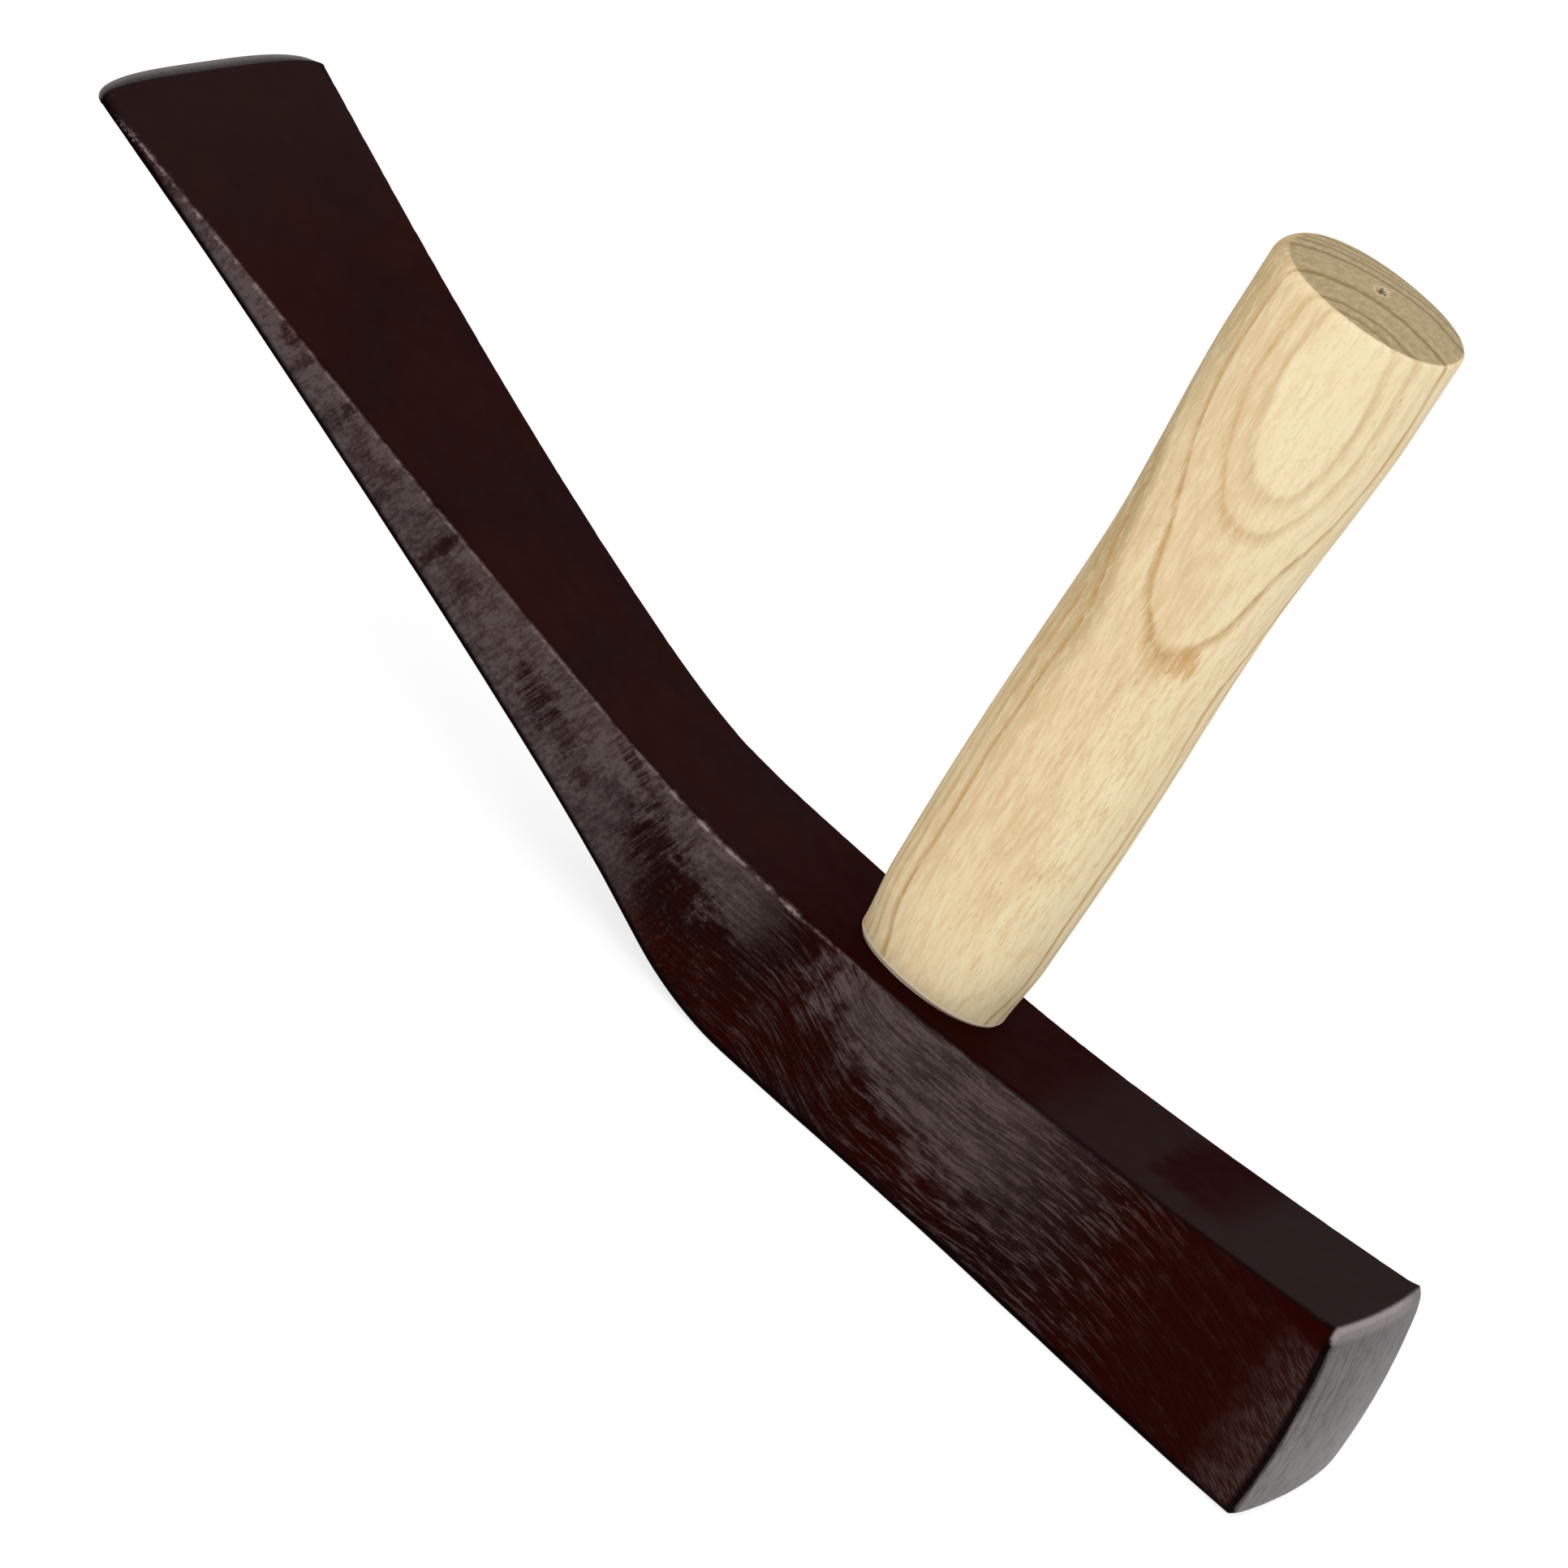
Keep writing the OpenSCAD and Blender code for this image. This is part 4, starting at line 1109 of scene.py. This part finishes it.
def markHandle(mesh):
    size = SimpleNamespace(**endMarks)
    x, y, z = meshPoints(mesh).T
    fromAxis = x - eyeX - handle.lean - handle.endWear
    alongEnd = fromAxis / (handle.knobLong - handle.endRound - handle.endWear)
    acrossEnd = y / (handle.knobShort - handle.endRound)
    outline = abs(alongEnd) ** eye.power + abs(acrossEnd) ** eye.power
    sawn = (z > size.sawnFrom) * smooth((size.sawnOver - outline) / size.sawnBlend)
    foot = (z < handle.recess + size.footSkin) * 1.0
    storeAttribute(mesh, "endGrain", np.maximum(sawn, foot))
    storeAttribute(mesh, "pit", bell(np.hypot(fromAxis, y), size.pitReach) * (z > size.sawnFrom))


def makeHandle():
    cutters = slotCutters()
    piece = meshObject("ashHandle", [(0, 0, 0), (1, 0, 0), (0, 1, 0)], [(0, 1, 2)])
    tree = geometryTree("turnHandle", handleSizes, ash(), turnHandle)
    applyTree(piece, tree, handleSizes)
    for cutter in cutters:
        bpy.data.objects.remove(cutter)
    keepInside(piece, "handle")
    markHandle(piece.data)
    smoothShade(piece)
    finishPiece(piece, "ash", "handle")
    print("handle made:", len(piece.data.polygons), "faces")


makeHandle()


# Wedges: split beech with rays and flecks, and cropped steel with drawn lines and rust blooms
wedgeLooks = {
    "beechPale": (190, 150, 104), "beechBrown": (164, 122, 80), "beechFleck": (118, 82, 50),
    "steelBright": (150, 150, 152), "steelDull": (112, 112, 116), "steelRust": (92, 74, 60),
}


def beech():
    looks = paintAll(wedgeLooks)
    material, shader, place = newMaterial("beech")
    rays = noise(place, (3.5, 0.6, 9), detail=4, shift=2)
    flecks = noise(place, (0.9, 0.35, 2.5), detail=2, shift=6)
    colour = mixColour(rays.ramp(0.3, 0.7), looks.beechPale, looks.beechBrown)
    colour = mixColour(flecks.ramp(0.58, 0.7) * 0.6, colour, looks.beechFleck)
    roughness, height = rays.ramp(0.3, 0.7, 0.6, 0.75), rays + flecks * 0.5
    dress(shader, colour, roughness, height, depth=0.08, strength=0.6)
    return material


def croppedSteel():
    looks = paintAll(wedgeLooks)
    material, shader, place = newMaterial("croppedSteel")
    drawn = noise(place, (0.5, 6, 9), detail=4, shift=4)
    blooms = noise(place, (3, 3, 3), detail=4, shift=8)
    colour = mixColour(drawn.ramp(0.3, 0.7), looks.steelBright, looks.steelDull)
    colour = mixColour(blooms.ramp(0.55, 0.75) * 0.6, colour, looks.steelRust)
    dress(shader, colour, blooms.ramp(0.3, 0.7, 0.34, 0.55), drawn, depth=0.05, strength=0.5)
    shader.inputs["Metallic"].default_value = 0.9
    return material


def giveMaterial(node, material):
    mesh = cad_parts[node].data
    mesh.materials.clear()
    mesh.materials.append(material)


steel = croppedSteel()
giveMaterial("wood_wedge", beech())
giveMaterial("steel_wedge_blade_side", steel)
giveMaterial("steel_wedge_face_side", steel)
print("wedges finished")


# Stage: a pale floor that is white where no shadow falls, soft lamps and the camera. Places are in
# metres, the lens and the sensor in mm and the roll in degrees
stageLooks = {
    "floorSize": 8.0, "floorWhite": 0.86, "floorShare": 0.6, "floorGlow": 1.3, "worldLight": 0.62,
    "lens": 168.29, "sensor": 36.0, "roll": 31.80, "clipStart": 0.01, "clipEnd": 20.0,
    "eye": (0.44854, -1.15040, 0.65179), "target": (0.0119, 0.0, 0.0425),
}
lampLooks = {
    "key": {"at": (0.9, -1.3, 1.5), "size": 1.2, "watts": 15.0},
    "fill": {"at": (-1.4, -0.9, 1.0), "size": 1.4, "watts": 7.0},
    "back": {"at": (0.2, 1.5, 1.3), "size": 1.2, "watts": 7.0},
}


# 1 for the rays that should see white: from the camera, and through or off the object
def whiteRays(tree):
    path = tree.nodes.new("ShaderNodeLightPath")
    names = ("Is Camera Ray", "Is Glossy Ray", "Is Transmission Ray")
    seen, glossy, through = (Field(tree, path.outputs[name]) for name in names)
    return seen.math("MAXIMUM", glossy).math("MAXIMUM", through)


def makeFloor():
    half = stageLooks["floorSize"] / 2 / mm
    corners = [(-half, -half, 0), (half, -half, 0), (half, half, 0), (-half, half, 0)]
    floor = meshObject("floor", corners, [(0, 1, 2, 3)])
    material = bpy.data.materials.new("paleFloor")
    material.use_nodes = True
    tree = material.node_tree
    tree.nodes.clear()
    white = stageLooks["floorWhite"]
    matt = addNode(tree, "ShaderNodeBsdfDiffuse", {"Color": (white, white, white, 1)})
    glow = addNode(tree, "ShaderNodeEmission", {"Color": (1, 1, 1, 1), "Strength": stageLooks["floorGlow"]})
    share = whiteRays(tree) * stageLooks["floorShare"]
    mixed = addNode(tree, "ShaderNodeMixShader", {0: share, 1: matt, 2: glow})

    # Seen from below, the floor is clear
    below = addNode(tree, "ShaderNodeNewGeometry", output="Backfacing")
    clear = addNode(tree, "ShaderNodeBsdfTransparent")
    mixed = addNode(tree, "ShaderNodeMixShader", {0: below, 1: mixed, 2: clear})
    tree.links.new(mixed.socket, tree.nodes.new("ShaderNodeOutputMaterial").inputs["Surface"])
    floor.data.materials.append(material)


def makeWorld():
    world = bpy.data.worlds.new("studio")
    bpy.context.scene.world = world
    world.use_nodes = True
    tree = world.node_tree
    background = tree.nodes["Background"]
    background.inputs["Color"].default_value = (1, 1, 1, 1)
    plug(mixValue(whiteRays(tree), stageLooks["worldLight"], 1.0), background.inputs["Strength"])


def makeLamps():
    for name, looks in lampLooks.items():
        data = bpy.data.lights.new(name, "AREA")
        data.size = looks["size"]
        data.energy = looks["watts"]
        lamp = bpy.data.objects.new(name, data)
        lamp.location = looks["at"]
        lamp.rotation_euler = (-Vector(looks["at"])).to_track_quat("-Z", "Y").to_euler()
        bpy.context.scene.collection.objects.link(lamp)


def makeCamera():
    data = bpy.data.cameras.new("camera")
    data.sensor_width = stageLooks["sensor"]
    data.lens = stageLooks["lens"]
    data.clip_start, data.clip_end = stageLooks["clipStart"], stageLooks["clipEnd"]
    camera = bpy.data.objects.new("camera", data)
    back = (Vector(stageLooks["eye"]) - Vector(stageLooks["target"])).normalized()
    level = Vector((0, 0, 1)).cross(back).normalized()
    upright = back.cross(level)
    roll = math.radians(stageLooks["roll"])
    right = level * math.cos(roll) + upright * math.sin(roll)
    up = back.cross(right)
    turn = Matrix((right, up, back)).transposed()
    camera.matrix_world = Matrix.Translation(Vector(stageLooks["eye"])) @ turn.to_4x4()
    bpy.context.scene.collection.objects.link(camera)
    bpy.context.scene.camera = camera


makeFloor()
makeWorld()
makeLamps()
makeCamera()
bpy.context.scene.view_settings.view_transform = "Standard"
print("stage set")
